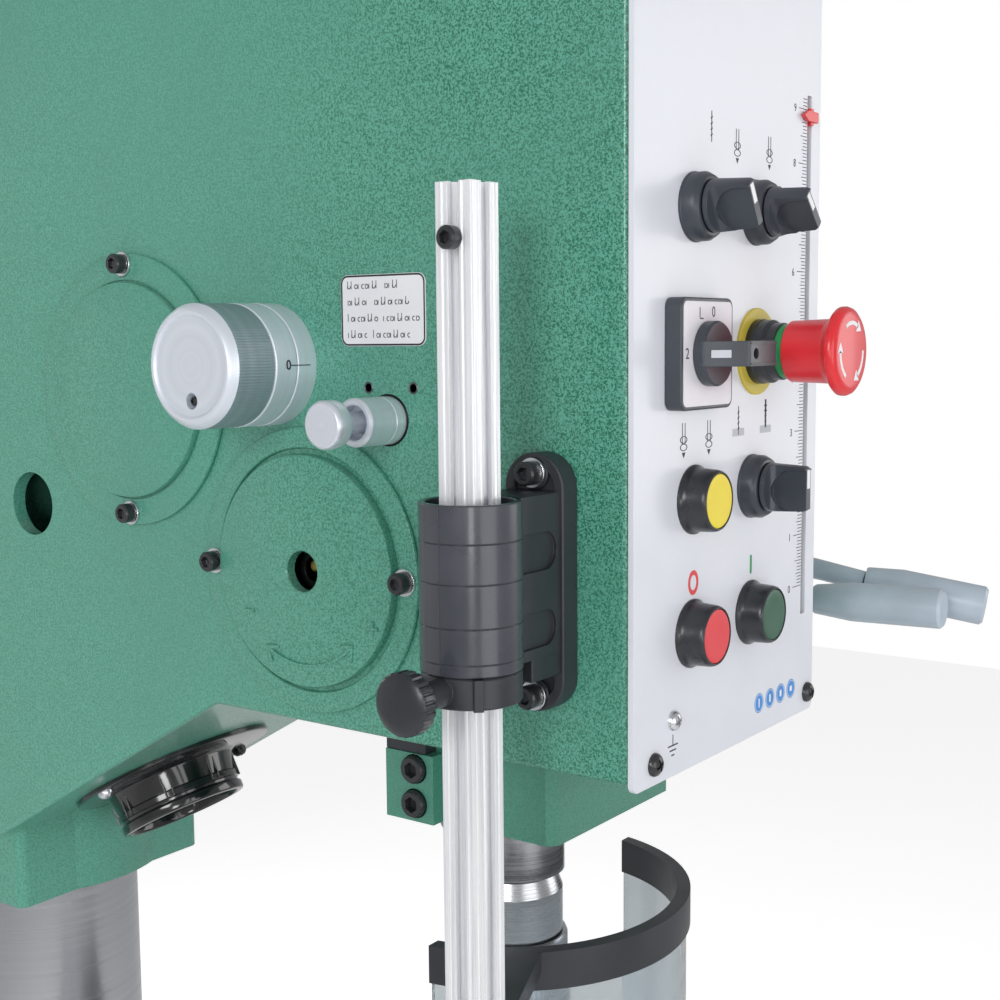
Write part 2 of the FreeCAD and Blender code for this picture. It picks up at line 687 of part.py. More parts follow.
def lamp_housing():
    """Work lamp under the slanted face: a round flange and a ribbed cup that is open at its mouth."""
    profile = [
        (0, 0), (61, 0), (61, 2), (60, 3), (38, 3.5), (36.5, 6), (36.5, 23), (38.5, 24), (38.5, 28.2),
        (37.2, 29), (34, 29), (33, 12), (20, 8), (0, 8),
    ]
    solid = turned(profile, LAMP_AT, LAMP_AXIS)
    return cut(
        solid,
        rod(LAMP_AT + RIGHT * LAMP_SCREW_X - LAMP_AXIS, LAMP_AXIS, 3, 6),
        rod(LAMP_AT - RIGHT * LAMP_SCREW_X - LAMP_AXIS, LAMP_AXIS, 3, 6),
    )


def fasteners():
    """Every screw that holds a fixed piece of the head and the column foot."""
    solids = []
    for y, z in COVER_SCREWS:
        solids += cap_screw(Vector(LEFT_FACE - 2.6, y, z), LEFT, 6, 8, 6.3)
    for z in BRACKET_SCREW_Z:
        solids += cap_screw(Vector(LEFT_FACE - 11, GUARD_Y, z), LEFT, 6, 18, 6.3)
    for z in CLAMP_SCREW_Z:
        solids += cap_screw(Vector(EAR_FACE + 4.5, CLAMP_SCREW_Y, z), LEFT, 8, 15, 0)
    for side in (LEFT, RIGHT):
        solids += cap_screw(LAMP_AT + side * LAMP_SCREW_X + LAMP_AXIS * 3, LAMP_AXIS, 5, 6, 0)
    for x, z in ((17.0, 9.0), (169.0, 9.0), (17.0, 421.0), (158.0, 421.0), (33.0, 24.3)):
        pan_head = [(0, -2), (2, -2), (2, 0), (5, 0), (4.6, 2), (3, 3.2), (0, 3.4)]
        solids.append(turned(pan_head, on_panel((x, z), 0), FRONT))
    for quarter in range(4):
        turn = math.radians(45 + 90 * quarter)
        seat = Vector(98 * math.cos(turn), THROAT + 98 * math.sin(turn), BASE_TOP + 22.5)
        solids += cap_screw(seat, UP, 14, 30, 0)
        seat = Vector(70.5 * math.cos(turn), MOTOR_Y + 70.5 * math.sin(turn), LID_TOP + MOTOR_FLANGE_T)
        solids += cap_screw(seat, UP, 8, 20, 0)
    for x in (-74, 74):
        for y in LID_SCREW_Y:
            solids += cap_screw(Vector(x, y, LID_TOP), UP, 8, 20, 0)
    return solids


save("upper_cover", upper_cover())
save("spring_cover", spring_cover())
save("return_spring", return_spring())
save("dial_ring", ring(Vector(LEFT_FACE, *DIAL), LEFT, DIAL_R, 8 + RUN, 12))
save("feed_dial", feed_dial())
save("drift_sleeve", drift_sleeve())
save("drift_knob", drift_knob())
plate_low = on_head(-0.6, 104.8, 183.5)
plate_y = (plate_low.y, plate_low.y + 49.3)
plate = box((plate_low.x, plate_low.x + 0.6), plate_y, (plate_low.z, plate_low.z + 32))
save("instruction_plate", rounded(plate, RIGHT, 3))
save("quill_clamp", quill_clamp())
save("lamp_housing", lamp_housing())
save("lamp_lens", rod(LAMP_AT + LAMP_AXIS * 14, LAMP_AXIS, 33.0, 4))
save("fasteners", *fasteners())


# ---------------------------------------------------------------- spindle guard

TUBE_Z = (PANEL_BOTTOM + 58.7, PANEL_BOTTOM + 124.5)
COLLAR_Z = (PANEL_BOTTOM + 46.2, PANEL_BOTTOM + 58.4)
KNOB_Z = PANEL_BOTTOM + 52.7
COLLAR_RIB_ANGLE = 46.0  # from the front towards the left
SHIELD_Z = (1080.0, 1230.0)
FRAME_Z = (1222.0, 1240.0)


def guard_bracket():
    """Plastic bracket on the head: a flange with round ends, an arm, and the tube that the guard turns in."""
    flange_y = (GUARD_Y - 14.5, GUARD_Y + 14.5)
    flange_z = (PANEL_BOTTOM + 32, PANEL_BOTTOM + 140)
    flange = rounded(box((LEFT_FACE - 11, LEFT_FACE), flange_y, flange_z), RIGHT, 14.2)
    arm = box((GUARD_X, LEFT_FACE - 5), (GUARD_Y - 13, GUARD_Y + 13), TUBE_Z)
    foot = box((GUARD_X + 23, LEFT_FACE - 5), (GUARD_Y - 13, GUARD_Y + 13), (TUBE_Z[0] - 9.5, TUBE_Z[0] + 1))
    tube = rod(Vector(GUARD_X, GUARD_Y, TUBE_Z[0]), UP, GUARD_TUBE_R, TUBE_Z[1] - TUBE_Z[0])
    solid = joined(flange, arm, foot, tube)
    tools = [rod(Vector(GUARD_X, GUARD_Y, TUBE_Z[0] - 1), UP, GUARD_TUBE_BORE_R, 80)]
    for z in BRACKET_SCREW_Z:
        tools.append(rod(Vector(LEFT_FACE - 12, GUARD_Y, z), RIGHT, 3.1, 13))
        tools.append(rod(Vector(LEFT_FACE - 11, GUARD_Y, z), LEFT, 8, 40))
    return cut(solid, *tools)


def guard_collar():
    """Turning sleeve in the bracket's tube, with a lower ring that takes the clamp knob."""
    at = Vector(GUARD_X, GUARD_Y, COLLAR_Z[0])
    lower = rod(at, UP, GUARD_TUBE_R - 0.3, COLLAR_Z[1] - COLLAR_Z[0])
    sleeve = rod(at, UP, GUARD_TUBE_BORE_R - RUN, 62)
    boss = rod(Vector(GUARD_X, GUARD_Y, KNOB_Z), LEFT, 5.5, 30)
    rib = box((GUARD_X - 2, GUARD_X + 2), (GUARD_Y - 22, GUARD_Y - 15), COLLAR_Z)
    rib.rotate(Vector(GUARD_X, GUARD_Y, 0), UP, -COLLAR_RIB_ANGLE)
    half = BAR_W / 2 + 0.1
    hole_z = (COLLAR_Z[0] - 1, COLLAR_Z[0] + 70)
    hole = box((GUARD_X - half, GUARD_X + half), (GUARD_Y - half, GUARD_Y + half), hole_z)
    thread = rod(Vector(GUARD_X, GUARD_Y, KNOB_Z), LEFT, 3 + RUN, 34)
    return cut(joined(lower, sleeve, boss, rib), hole, thread)


def guard_knob():
    """Clamp knob with grips round its rim and a screw that bears on the bar."""
    start = Vector(LEFT_FACE - 91, GUARD_Y, KNOB_Z)
    knob = turned([(0, 0), (11.6, 0), (12.25, 0.8), (12.25, 7.1), (11, 8.5), (0, 8.5)], start, LEFT)
    screw_end = GUARD_X - BAR_W / 2 - 0.15
    screw = rod(start, RIGHT, 3, screw_end - start.x)
    grooves = []
    for notch in range(18):
        turn = 2 * math.pi * notch / 18
        at = start + Vector(1, 12.9 * math.cos(turn), 12.9 * math.sin(turn))
        grooves.append(rod(at, LEFT, 1.2, 7))
    return cut(joined(knob, screw), *grooves)


def guard_bar():
    """Aluminium bar with a slot along each face, and a stop screw near its top."""
    half = BAR_W / 2
    bottom = FRAME_Z[0]
    length = BAR_TOP - bottom
    bar = box((-half, half), (-half, half), (0, length))
    tools = []
    for quarter in range(4):
        neck = box((half - 2.2, half + 1), (-2.6, 2.6), (-1, length + 1))
        head_side = [(half - 2.2, -4.6), (half - 2.2, 4.6), (half - 5.2, 1.8), (half - 5.2, -1.8)]
        head = prism([Vector(x, y, -1) for x, y in head_side], UP * (length + 2))
        for tool in (neck, head):
            tool.Placement = Placement(Vector(0, 0, 0), Rotation(UP, 90 * quarter))
            tools.append(tool)
    bar = cut(bar, *tools)
    bar.Placement = Placement(Vector(GUARD_X, GUARD_Y, bottom), Rotation())
    stop = cap_screw(Vector(GUARD_X - half, GUARD_Y, PANEL_BOTTOM + 224), LEFT, 5, 5.4, 0)
    return [bar] + stop


def guard_arm():
    """Block on the bar's foot, with an arm to the curved rail that carries the shield."""
    grip = rounded(box((GUARD_X - 15, GUARD_X + 15), (GUARD_Y - 15, GUARD_Y + 15), FRAME_Z), UP, 4)
    half = BAR_W / 2 + 0.05
    hole_z = (FRAME_Z[0] - 1, FRAME_Z[1] + 1)
    hole = box((GUARD_X - half, GUARD_X + half), (GUARD_Y - half, GUARD_Y + half), hole_z)
    rail = ring(Vector(0, 0, FRAME_Z[0]), UP, SHIELD_R + 5, SHIELD_R - 2, FRAME_Z[1] - FRAME_Z[0])
    rail = cut(rail, ring(Vector(0, 0, FRAME_Z[0] - 1), UP, SHIELD_R + 3, SHIELD_R, 9))
    rail = rail.common(box((-100, 100), (-100, -15), FRAME_Z))
    arm = prism(
        [
            Vector(GUARD_X + 10, GUARD_Y - 8, FRAME_Z[0] + 8),
            Vector(-66, -62, FRAME_Z[0] + 8),
            Vector(-80, -36, FRAME_Z[0] + 8),
            Vector(GUARD_X + 10, GUARD_Y + 12, FRAME_Z[0] + 8),
        ],
        UP * 10,
    )
    inside = rod(Vector(0, 0, FRAME_Z[0] - 1), UP, SHIELD_R - 2, 30)
    return joined(cut(grip, hole), cut(arm, inside, hole), rail)


def guard_shield():
    """Clear curved shield in front of the chuck."""
    shell = ring(Vector(0, 0, SHIELD_Z[0]), UP, SHIELD_R + 3, SHIELD_R, SHIELD_Z[1] - SHIELD_Z[0])
    return shell.common(box((-100, 100), (-100, -15), SHIELD_Z))


save("guard_bracket", guard_bracket())
save("guard_collar", guard_collar())
save("guard_knob", guard_knob())
save("guard_bar", *guard_bar())
save("guard_arm", guard_arm())
save("guard_shield", guard_shield())


# ---------------------------------------------------------------- quill, spindle and chuck

RACK_PITCH_Y = FEED_Y - MODULE * FEED_TEETH / 2
RACK_HALF_W = 10.0


def quill():
    """Quill with the rack on its back and the two bearings that carry the spindle."""
    at = Vector(0, 0, QUILL_BOTTOM)
    length = QUILL_TOP - QUILL_BOTTOM
    body = ring(at, UP, QUILL_R, SPINDLE_R + 6, length)
    tip_y = RACK_PITCH_Y + MODULE
    root_y = RACK_PITCH_Y - 1.25 * MODULE
    rack_low = FEED_Z - 3.5 * PITCH
    rack_gaps = int((QUILL_TRAVEL + 7 * PITCH) / PITCH)
    tools = [box((-RACK_HALF_W, RACK_HALF_W), (tip_y, QUILL_R + 1), (rack_low - 8, QUILL_TOP + 1))]
    at_root, at_tip = rack_gap_half_widths()
    for gap in range(rack_gaps + 1):
        z = FEED_Z + (gap - 3) * PITCH
        profile = [
            (root_y, z - at_root), (root_y, z + at_root), (tip_y + 0.5, z + at_tip),
            (tip_y + 0.5, z - at_tip),
        ]
        tooth_gap = [Vector(-RACK_HALF_W, y, height) for y, height in profile]
        tools.append(prism(tooth_gap, Vector(2 * RACK_HALF_W, 0, 0)))
    body = cut(body, *tools)
    bearings = []
    for start in (QUILL_BOTTOM + 4, QUILL_TOP - 22):
        bearings.append(ring(Vector(0, 0, start), UP, SPINDLE_R + 6, SPINDLE_R + RUN, 18))
    return [body] + bearings


def splines(radius, half_width, z0, z1):
    """Six keys round the spindle axis."""
    keys = []
    for key in range(6):
        bar = box((0, radius), (-half_width, half_width), (z0, z1))
        bar.Placement = Placement(Vector(0, 0, 0), Rotation(UP, 60 * key))
        keys.append(bar)
    return keys


def spindle():
    """Spindle with its nose, locknut, splined top and taper socket."""
    profile = [
        (0, 1248), (26, 1248), (26, 1268), (20, QUILL_BOTTOM - GAP), (SPINDLE_R, QUILL_BOTTOM - GAP),
        (SPINDLE_R, 1608), (16.5, 1608), (16.5, 1622), (SPLINE_ROOT_R, 1622), (SPLINE_ROOT_R, SPINDLE_TOP),
        (0, SPINDLE_TOP),
    ]
    solid = turned(profile, Vector(0, 0, 0), UP)
    solid = joined(solid, *splines(SPLINE_R, 2.4, 1620, SPINDLE_TOP))
    socket = turned([(0, 1247), (12.02, 1247), (9.9, 1330), (0, 1330)], Vector(0, 0, 0), UP)
    drift_slot = box((-40, 40), (-3.5, 3.5), (1322, 1352))
    return cut(solid, socket, drift_slot)


def chuck_body():
    """Chuck core with its taper arbor."""
    profile = [
        (6, CHUCK_BOTTOM), (17, CHUCK_BOTTOM), (22, CHUCK_BOTTOM + 12), (22, 1216), (25, 1216), (25, 1238),
        (22, CHUCK_TOP), (11.9, CHUCK_TOP), (9.95, 1322), (0, 1322), (0, 1180), (6, 1180),
    ]
    return turned(profile, Vector(0, 0, 0), UP)


def chuck_jaws():
    """Three jaws that close on the drill."""
    jaws = []
    for jaw in range(3):
        side = [(0.6, 1112), (3.2, 1112), (5.5, 1124), (5.5, 1160), (0.6, 1160)]
        solid = prism([Vector(x, -1.6, z) for x, z in side], Vector(0, 3.2, 0))
        solid.Placement = Placement(Vector(0, 0, 0), Rotation(UP, 120 * jaw + 30))
        jaws.append(solid)
    return jaws


def chuck_sleeve():
    """Knurled outer sleeve that opens and closes the jaws."""
    profile = [
        (22 + RUN, 1144), (27, 1144), (28.5, 1147), (28.5, 1198), (27.5, 1200), (27.5, 1213),
        (26, 1215 + GAP),
        (22 + RUN, 1215 + GAP),
    ]
    return turned(profile, Vector(0, 0, 0), UP)


save("quill", *quill())
save("spindle", spindle())
save("chuck_body", chuck_body())
save("chuck_jaws", *chuck_jaws())
save("chuck_sleeve", chuck_sleeve())


# ---------------------------------------------------------------- drive

MOTOR_R = 68.0
MOTOR_Z = (LID_TOP, 1985.0)


def drive_sleeve():
    """Splined sleeve in the web that carries the spindle gear."""
    z0 = WEB_BOTTOM
    hub = rod(Vector(0, 0, z0), UP, 25, WEB_TOP - z0 + 2)
    neck = rod(Vector(0, 0, WEB_TOP + 1), UP, 18, 62)
    collar = rod(Vector(0, 0, WEB_TOP + GAP), UP, 30, LOW_GEARS_Z - WEB_TOP - GAP)
    gear = involute_gear(SPINDLE_GEAR_TEETH, GEAR_T, math.pi / 2)
    gear.Placement = Placement(Vector(0, 0, LOW_GEARS_Z), Rotation())
    bore = rod(Vector(0, 0, z0 - 1), UP, SPLINE_ROOT_R + 0.1, 90)
    slots = splines(SPLINE_R + 0.1, 2.5, z0 - 1, z0 + 90)
    return cut(joined(hub, collar, gear, neck), bore, *slots)


def countershaft():
    """Shaft with the large driven gear and the pinion that turns the spindle gear."""
    at = Vector(0, COUNTER_Y, WEB_BOTTOM + 6)
    shaft = rod(at, UP, 10, HEAD_TOP - 5 - at.z)
    pinion = involute_gear(COUNTER_PINION_TEETH, GEAR_T + 4, -math.pi / 2 + math.pi / COUNTER_PINION_TEETH)
    pinion.Placement = Placement(Vector(0, COUNTER_Y, LOW_GEARS_Z - 2), Rotation())
    wheel = involute_gear(COUNTER_GEAR_TEETH, GEAR_T, math.pi / 2)
    wheel.Placement = Placement(Vector(0, COUNTER_Y, HIGH_GEARS_Z), Rotation())
    return joined(shaft, pinion, wheel)


def motor_rotor():
    """Motor shaft with its pinion, the rotor and the cooling fan."""
    at = Vector(0, MOTOR_Y, WEB_BOTTOM + 6)
    shaft = rod(at, UP, 10, 2012 - at.z)
    pinion = involute_gear(MOTOR_PINION_TEETH, GEAR_T + 4, -math.pi / 2 + math.pi / MOTOR_PINION_TEETH)
    pinion.Placement = Placement(Vector(0, MOTOR_Y, HIGH_GEARS_Z - 2), Rotation())
    core = rod(Vector(0, MOTOR_Y, 1825), UP, 42, 120)
    hub = rod(Vector(0, MOTOR_Y, 1994), UP, 18, 16)
    parts = [pinion, core, hub]
    for blade in range(8):
        vane = box((10, 56), (-1.5, 1.5), (0, 14))
        vane.Placement = Placement(Vector(0, MOTOR_Y, 1995), Rotation(UP, 45 * blade))
        parts.append(vane)
    return joined(shaft, *parts)


def motor_housing():
    """Flange motor: flange, finned shell, upper end plate, and the fan cover."""
    low, high = MOTOR_Z
    at = Vector(0, MOTOR_Y, 0)
    shell = turned(
        [
            (10 + RUN, low), (76, low), (76, low + MOTOR_FLANGE_T), (MOTOR_R - 3, low + 18),
            (MOTOR_R - 3, high),
            (10 + RUN, high), (10 + RUN, high - 10), (60, high - 10), (60, low + 20), (10 + RUN, low + 20),
        ],
        at,
        UP,
    )
    fins = []
    for fin in range(28):
        rib = box((MOTOR_R - 8, MOTOR_R + 2), (-1.2, 1.2), (low + 22, high - 8))
        rib.Placement = Placement(at, Rotation(UP, 360 * fin / 28))
        fins.append(rib)
    shell = joined(shell, *fins)
    cover = turned(
        [
            (MOTOR_R - 2.6, high), (MOTOR_R + 2, high), (MOTOR_R + 2, 2030), (MOTOR_R - 6, 2040), (0, 2040),
            (0, 2037.5), (MOTOR_R - 7, 2037.5), (MOTOR_R - 0.5, 2029), (MOTOR_R - 0.5, high + 3),
            (MOTOR_R - 2.6, high + 3),
        ],
        at,
        UP,
    )
    return [shell, cover]


def terminal_box():
    """Connection box on the motor's right side, with a cable gland below."""
    z = (1850.0, 1935.0)
    body = rounded(box((MOTOR_R - 6, MOTOR_R + 42), (MOTOR_Y - 42, MOTOR_Y + 42), z), RIGHT, 6)
    body = cut(body, rod(Vector(0, MOTOR_Y, z[0] - 1), UP, MOTOR_R + 2.3, 90))
    lid = box((MOTOR_R + 42, MOTOR_R + 47), (MOTOR_Y - 44, MOTOR_Y + 44), (z[0] - 2, z[1] + 2))
    lid = rounded(lid, RIGHT, 6)
    gland_profile = [(0, 0), (11, 0), (11, 8), (9, 8), (9, 14), (5, 18), (0, 18)]
    gland = turned(gland_profile, Vector(MOTOR_R + 20, MOTOR_Y, z[0]), DOWN)
    return joined(body, lid, gland)


save("drive_sleeve", drive_sleeve())
save("countershaft", countershaft())
save("motor_rotor", motor_rotor())
save("motor_housing", *motor_housing())
save("terminal_box", terminal_box())


# ---------------------------------------------------------------- feed handles

GRIP_R = 10.75
SPOKE_ANGLE = math.radians(9)
SPOKE_END_R = 219.0
SPOKE_BEND = (math.radians(5.5), math.radians(0.8))
LEVER_END_R = 229.0
CLUTCH_STEM_R = 8.0


def pinion_shaft():
    """Shaft across the head, with the pinion that drives the quill's rack."""
    gear = involute_gear(FEED_TEETH, 2 * RACK_HALF_W - 2, -math.pi / 2)
    gear = placed(gear, Vector(-RACK_HALF_W + 1, FEED_Y, FEED_Z), RIGHT)
    shaft = rod(Vector(LEFT_FACE + 3, FEED_Y, FEED_Z), RIGHT, 12, HEAD_W + 10)
    step = ring(Vector(LEFT_FACE + 2, FEED_Y, FEED_Z), RIGHT, 13, 9, 10)
    centre_hole = rod(Vector(LEFT_FACE + 2, FEED_Y, FEED_Z), RIGHT, 6, 16)
    return joined(cut(shaft, step, centre_hole), gear)


def on_feed(angle, radius, x):
    """A point about the feed axis: angle 0 points to the front, and it grows as the handle feeds down."""
    return Vector(x, FEED_Y - radius * math.cos(angle), FEED_Z - radius * math.sin(angle))


def handle_grip(inner, outer):
    """Slim plastic grip on the end of a spoke, thickest at its outer end."""
    length = (outer - inner).Length
    profile = [
        (0, 0), (7.6, 0), (8.2, 1), (GRIP_R, length * 0.3), (GRIP_R, length - 1.5), (GRIP_R - 1.5, length),
        (0, length),
    ]
    return turned(profile, inner, (outer - inner).normalize())


def feed_hub():
    """Hub with a graduated collar and three spokes."""
    start = Vector(RIGHT_FACE + GAP, FEED_Y, FEED_Z)
    profile = [
        (12 + RUN, 0), (36, 0), (37, 2), (37, 13), (35, 15), (27, 17), (26, 20), (26, 66), (23, 70),
        (0, 70), (0, 14),
        (12 + RUN, 14),
    ]
    solid = turned(profile, start, RIGHT)
    for spoke in range(3):
        angle = SPOKE_ANGLE + 2 * math.pi * spoke / 3
        inner = on_feed(angle + SPOKE_BEND[0], 15, RIGHT_FACE + 50)
        outer = on_feed(angle + SPOKE_BEND[0], 150, RIGHT_FACE + 77)
        solid = joined(solid, rod(inner, (outer - inner).normalize(), 6, (outer - inner).Length))
    return cut(solid, rod(start + RIGHT * 36, RIGHT, CLUTCH_STEM_R + RUN, 40))


def feed_grips():
    grips = []
    for spoke in range(3):
        angle = SPOKE_ANGLE + 2 * math.pi * spoke / 3
        inner = on_feed(angle + SPOKE_BEND[0], 150, RIGHT_FACE + 77)
        outer = on_feed(angle + SPOKE_BEND[1], SPOKE_END_R, RIGHT_FACE + 84.4)
        grips.append(handle_grip(inner, outer))
    return grips


def clutch_lever():
    """Lever on the hub's end that engages the power feed, with a stem and the same grip."""
    angle = math.radians(10.3)
    pivot = on_feed(angle, 8, RIGHT_FACE + 84)
    seat = Vector(RIGHT_FACE + 70 + 2 * GAP, FEED_Y, FEED_Z)
    hub = joined(rod(seat, RIGHT, 20, 22), rod(seat + RIGHT, LEFT, CLUTCH_STEM_R, 30))
    inner = on_feed(angle, 166, RIGHT_FACE + 104.4)
    outer = on_feed(angle, LEVER_END_R, RIGHT_FACE + 124.4)
    stem = Part.makeCone(8, 5.5, (inner - pivot).Length, pivot, (inner - pivot).normalize())
    return joined(hub, stem), handle_grip(inner, outer)


save("pinion_shaft", pinion_shaft())
save("feed_hub", feed_hub())
save("feed_grips", *feed_grips())
save("clutch_lever", *clutch_lever())


def speed_lever(y, z, lean):
    """Short lever with a ball, on the right side of the head."""
    at = Vector(RIGHT_FACE + GAP, y, z)
    collar = turned([(0, 0), (24, 0), (24, 6), (15, 10), (14, 26), (0, 27)], at, RIGHT)
    hub = joined(collar, rod(at, LEFT, 8, 24))
    start = at + RIGHT * 17
    direction = Vector(0.25, math.sin(lean), math.cos(lean)).normalize()
    arm = rod(start, direction, 5, 78)
    ball = Part.makeSphere(15, start + direction * 88)
    return joined(hub, arm, ball)


for name, (y, z) in zip(("speed_lever", "range_lever"), SPEED_LEVERS):
    save(name, speed_lever(y, z, math.radians(-20)))


# ---------------------------------------------------------------- table and its lift

RACK_Z = (FOOT_TOP + 1, COLLAR_BOTTOM - 1)
RACK_BACK_X = -COLUMN_R - GAP
LIFT_PITCH_X = LIFT_X + MODULE * LIFT_TEETH / 2
BRACKET_Z = (715.0, 865.0)
WORM_R = 7.5
LOCK_AT = Vector(106, 0, LIFT_Z)


def table_rack():
    """Toothed bar beside the column. It turns about the column with the table."""
    at_root, at_tip = rack_gap_half_widths()
    root_x = LIFT_PITCH_X + 1.25 * MODULE
    tip_x = LIFT_PITCH_X - MODULE
    first = math.ceil((RACK_Z[0] + PITCH - LIFT_Z) / PITCH)
    last = math.floor((RACK_Z[1] - PITCH - LIFT_Z) / PITCH)
    outline = [(RACK_BACK_X, RACK_Z[0]), (tip_x, RACK_Z[0])]
    for gap in range(first, last + 1):
        z = LIFT_Z + gap * PITCH
        outline += [(tip_x, z - at_tip), (root_x, z - at_root), (root_x, z + at_root), (tip_x, z + at_tip)]
    outline += [(tip_x, RACK_Z[1]), (RACK_BACK_X, RACK_Z[1])]
    return prism([Vector(x, THROAT - 11, z) for x, z in outline], Vector(0, 22, 0))


def table_bracket():
    """Sliding bracket: split collar, gear housing, arm and the flange that the table tilts on."""
    axis_at = Vector(0, THROAT, BRACKET_Z[0])
    height = BRACKET_Z[1] - BRACKET_Z[0]
    collar = rod(axis_at, UP, 88, height)
    arm_side = [(118, 835), (118, 745), (318, 722), (318, 860)]
    arm = prism([Vector(-38, y, z) for y, z in arm_side], Vector(76, 0, 0))
    flange = rod(Vector(0, TRUNNION_Y[1] + GAP, TILT_Z), BACK, TRUNNION_R, 20)
    pin = rod(Vector(0, TRUNNION_Y[0] - GAP, TILT_Z), BACK, 14, 40)
    pin_head = rod(Vector(0, TRUNNION_Y[0] - GAP, TILT_Z), FRONT, 24, 14)
    housing = rounded(box((-130, -50), (364, 432), (738, 828)), BACK, 8)
    ears = box((70, 124), (360, 420), (762, 818))
    solid = joined(collar, arm, flange, pin, pin_head, housing, ears)
    tools = [
        rod(axis_at - UP, UP, COLUMN_R + RUN, height + 2),
        box((-76, -50), (THROAT - 11.3, THROAT + 11.3), (BRACKET_Z[0] - 1, BRACKET_Z[1] + 1)),
        rod(Vector(LIFT_X, LIFT_Y[0] - 1, LIFT_Z), BACK, MODULE * LIFT_TEETH / 2 + MODULE + 0.6, 20),
        rod(Vector(LIFT_X, WORM_Y - 9, LIFT_Z), BACK, 20.6, 18),
        rod(Vector(LIFT_X, 370, LIFT_Z), BACK, 8 + RUN, 56),
        rod(Vector(-80, WORM_Y, WORM_Z), LEFT, WORM_R + RUN, 60),
        box((55, 130), (THROAT - 2, THROAT + 2), (BRACKET_Z[0] - 1, BRACKET_Z[1] + 1)),
        rod(LOCK_AT + BACK * 340, BACK, 8 + RUN, 100),
    ]
    return cut(solid, *tools)


def lift_pinion():
    """Pinion on the rack, on one shaft with the worm wheel."""
    pinion = involute_gear(LIFT_TEETH, LIFT_Y[1] - LIFT_Y[0], 0)
    pinion = placed(pinion, Vector(LIFT_X, LIFT_Y[0], LIFT_Z), BACK)
    shaft = rod(Vector(LIFT_X, 371, LIFT_Z), BACK, 8, 54)
    wheel = rod(Vector(LIFT_X, WORM_Y - 8, LIFT_Z), BACK, 19.8, 16)
    return joined(pinion, shaft, wheel)


def table_crank():
    """Worm shaft with the crank and its grip."""
    worm = rod(Vector(-82, WORM_Y, WORM_Z), LEFT, WORM_R, 60)
    hub = rod(Vector(-132, WORM_Y, WORM_Z), LEFT, 15, 24)
    arm = rounded(box((-154, -144), (WORM_Y - 10, WORM_Y + 10), (WORM_Z - 125, WORM_Z + 10)), RIGHT, 8)
    grip = turned(
        [(0, 0), (9, 0), (11, 4), (13, 50), (12, 84), (9, 90), (0, 90)],
        Vector(-154, WORM_Y, WORM_Z - 115),
        LEFT,
    )
    return joined(worm, hub, arm, grip)


def table_lock():
    """Clamp bolt of the bracket, with its lever at the front."""
    bolt = rod(LOCK_AT + BACK * 340, BACK, 8, 84)
    hub = rod(LOCK_AT + BACK * 332, BACK, 15, 27)
    start = LOCK_AT + BACK * 344
    direction = Vector(0.5, -0.1, 0.86).normalize()
    arm = rod(start, direction, 6, 100)
    ball = Part.makeSphere(15, start + direction * 108)
    return joined(bolt, hub, arm, ball)


def table():
    """Square table with two T-slots, a coolant channel, a centre hole, and ribs down to its trunnion."""
    top = TABLE_TOP
    plate = box((-TABLE_HALF_X, TABLE_HALF_X), (-TABLE_HALF_Y, TABLE_HALF_Y), (top - TABLE_T, top))
    plate = rounded(plate, UP, 16)
    under = top - TABLE_T + 1
    rib_side = [(-150, under), (TRUNNION_Y[1], under), (TRUNNION_Y[1], 790), (20, 800)]
    parts = [plate, rod(Vector(0, TRUNNION_Y[0], TILT_Z), BACK, TRUNNION_R, TRUNNION_Y[1] - TRUNNION_Y[0])]
    parts.append(rod(Vector(0, 0, top - TABLE_T - 22), UP, 32, 30))
    for x in (-52, 36):
        parts.append(prism([Vector(x, y, z) for y, z in rib_side], Vector(16, 0, 0)))
    solid = joined(*parts)
    channel = cut(
        box((-196, 196), (-186, 186), (top - 7, top + 1)),
        box((-183, 183), (-173, 173), (top - 8, top + 2)),
    )
    tools = [
        channel,
        rod(Vector(0, 0, top - 100), UP, 16, 110),
        rod(Vector(0, TRUNNION_Y[0] - 1, TILT_Z), BACK, 14 + RUN, 22),
        rod(Vector(0, TRUNNION_Y[0] - 20, TILT_Z), BACK, 26, 20),
    ]
    for x in (-SLOT_X, SLOT_X):
        tools.append(box((x - 7, x + 7), (-TABLE_HALF_Y - 1, TABLE_HALF_Y + 1), (top - 14, top + 1)))
        tools.append(box((x - 12, x + 12), (-TABLE_HALF_Y - 1, TABLE_HALF_Y + 1), (top - 24, top - 14)))
    return cut(solid, *tools)


save("table_rack", table_rack())
save("table_bracket", table_bracket())
save("lift_pinion", lift_pinion())
save("table_crank", table_crank())
save("table_lock", table_lock())
save("table", table())
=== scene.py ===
# %% [markdown]
# # A floor-standing drill press with a geared head
# The machine is already designed: its castings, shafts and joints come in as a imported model, and this
# notebook gives it its looks. Each step makes one piece or one finish in Blender around that model.
# Pieces that carry detail, such as knurls, pockets and marks, are modelled anew with bmesh operators.
# Pieces whose shape is already right keep it, and only get softer edges or a better finish.

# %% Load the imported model
import json
import math

import bmesh
import bpy
from mathutils import Matrix, Vector


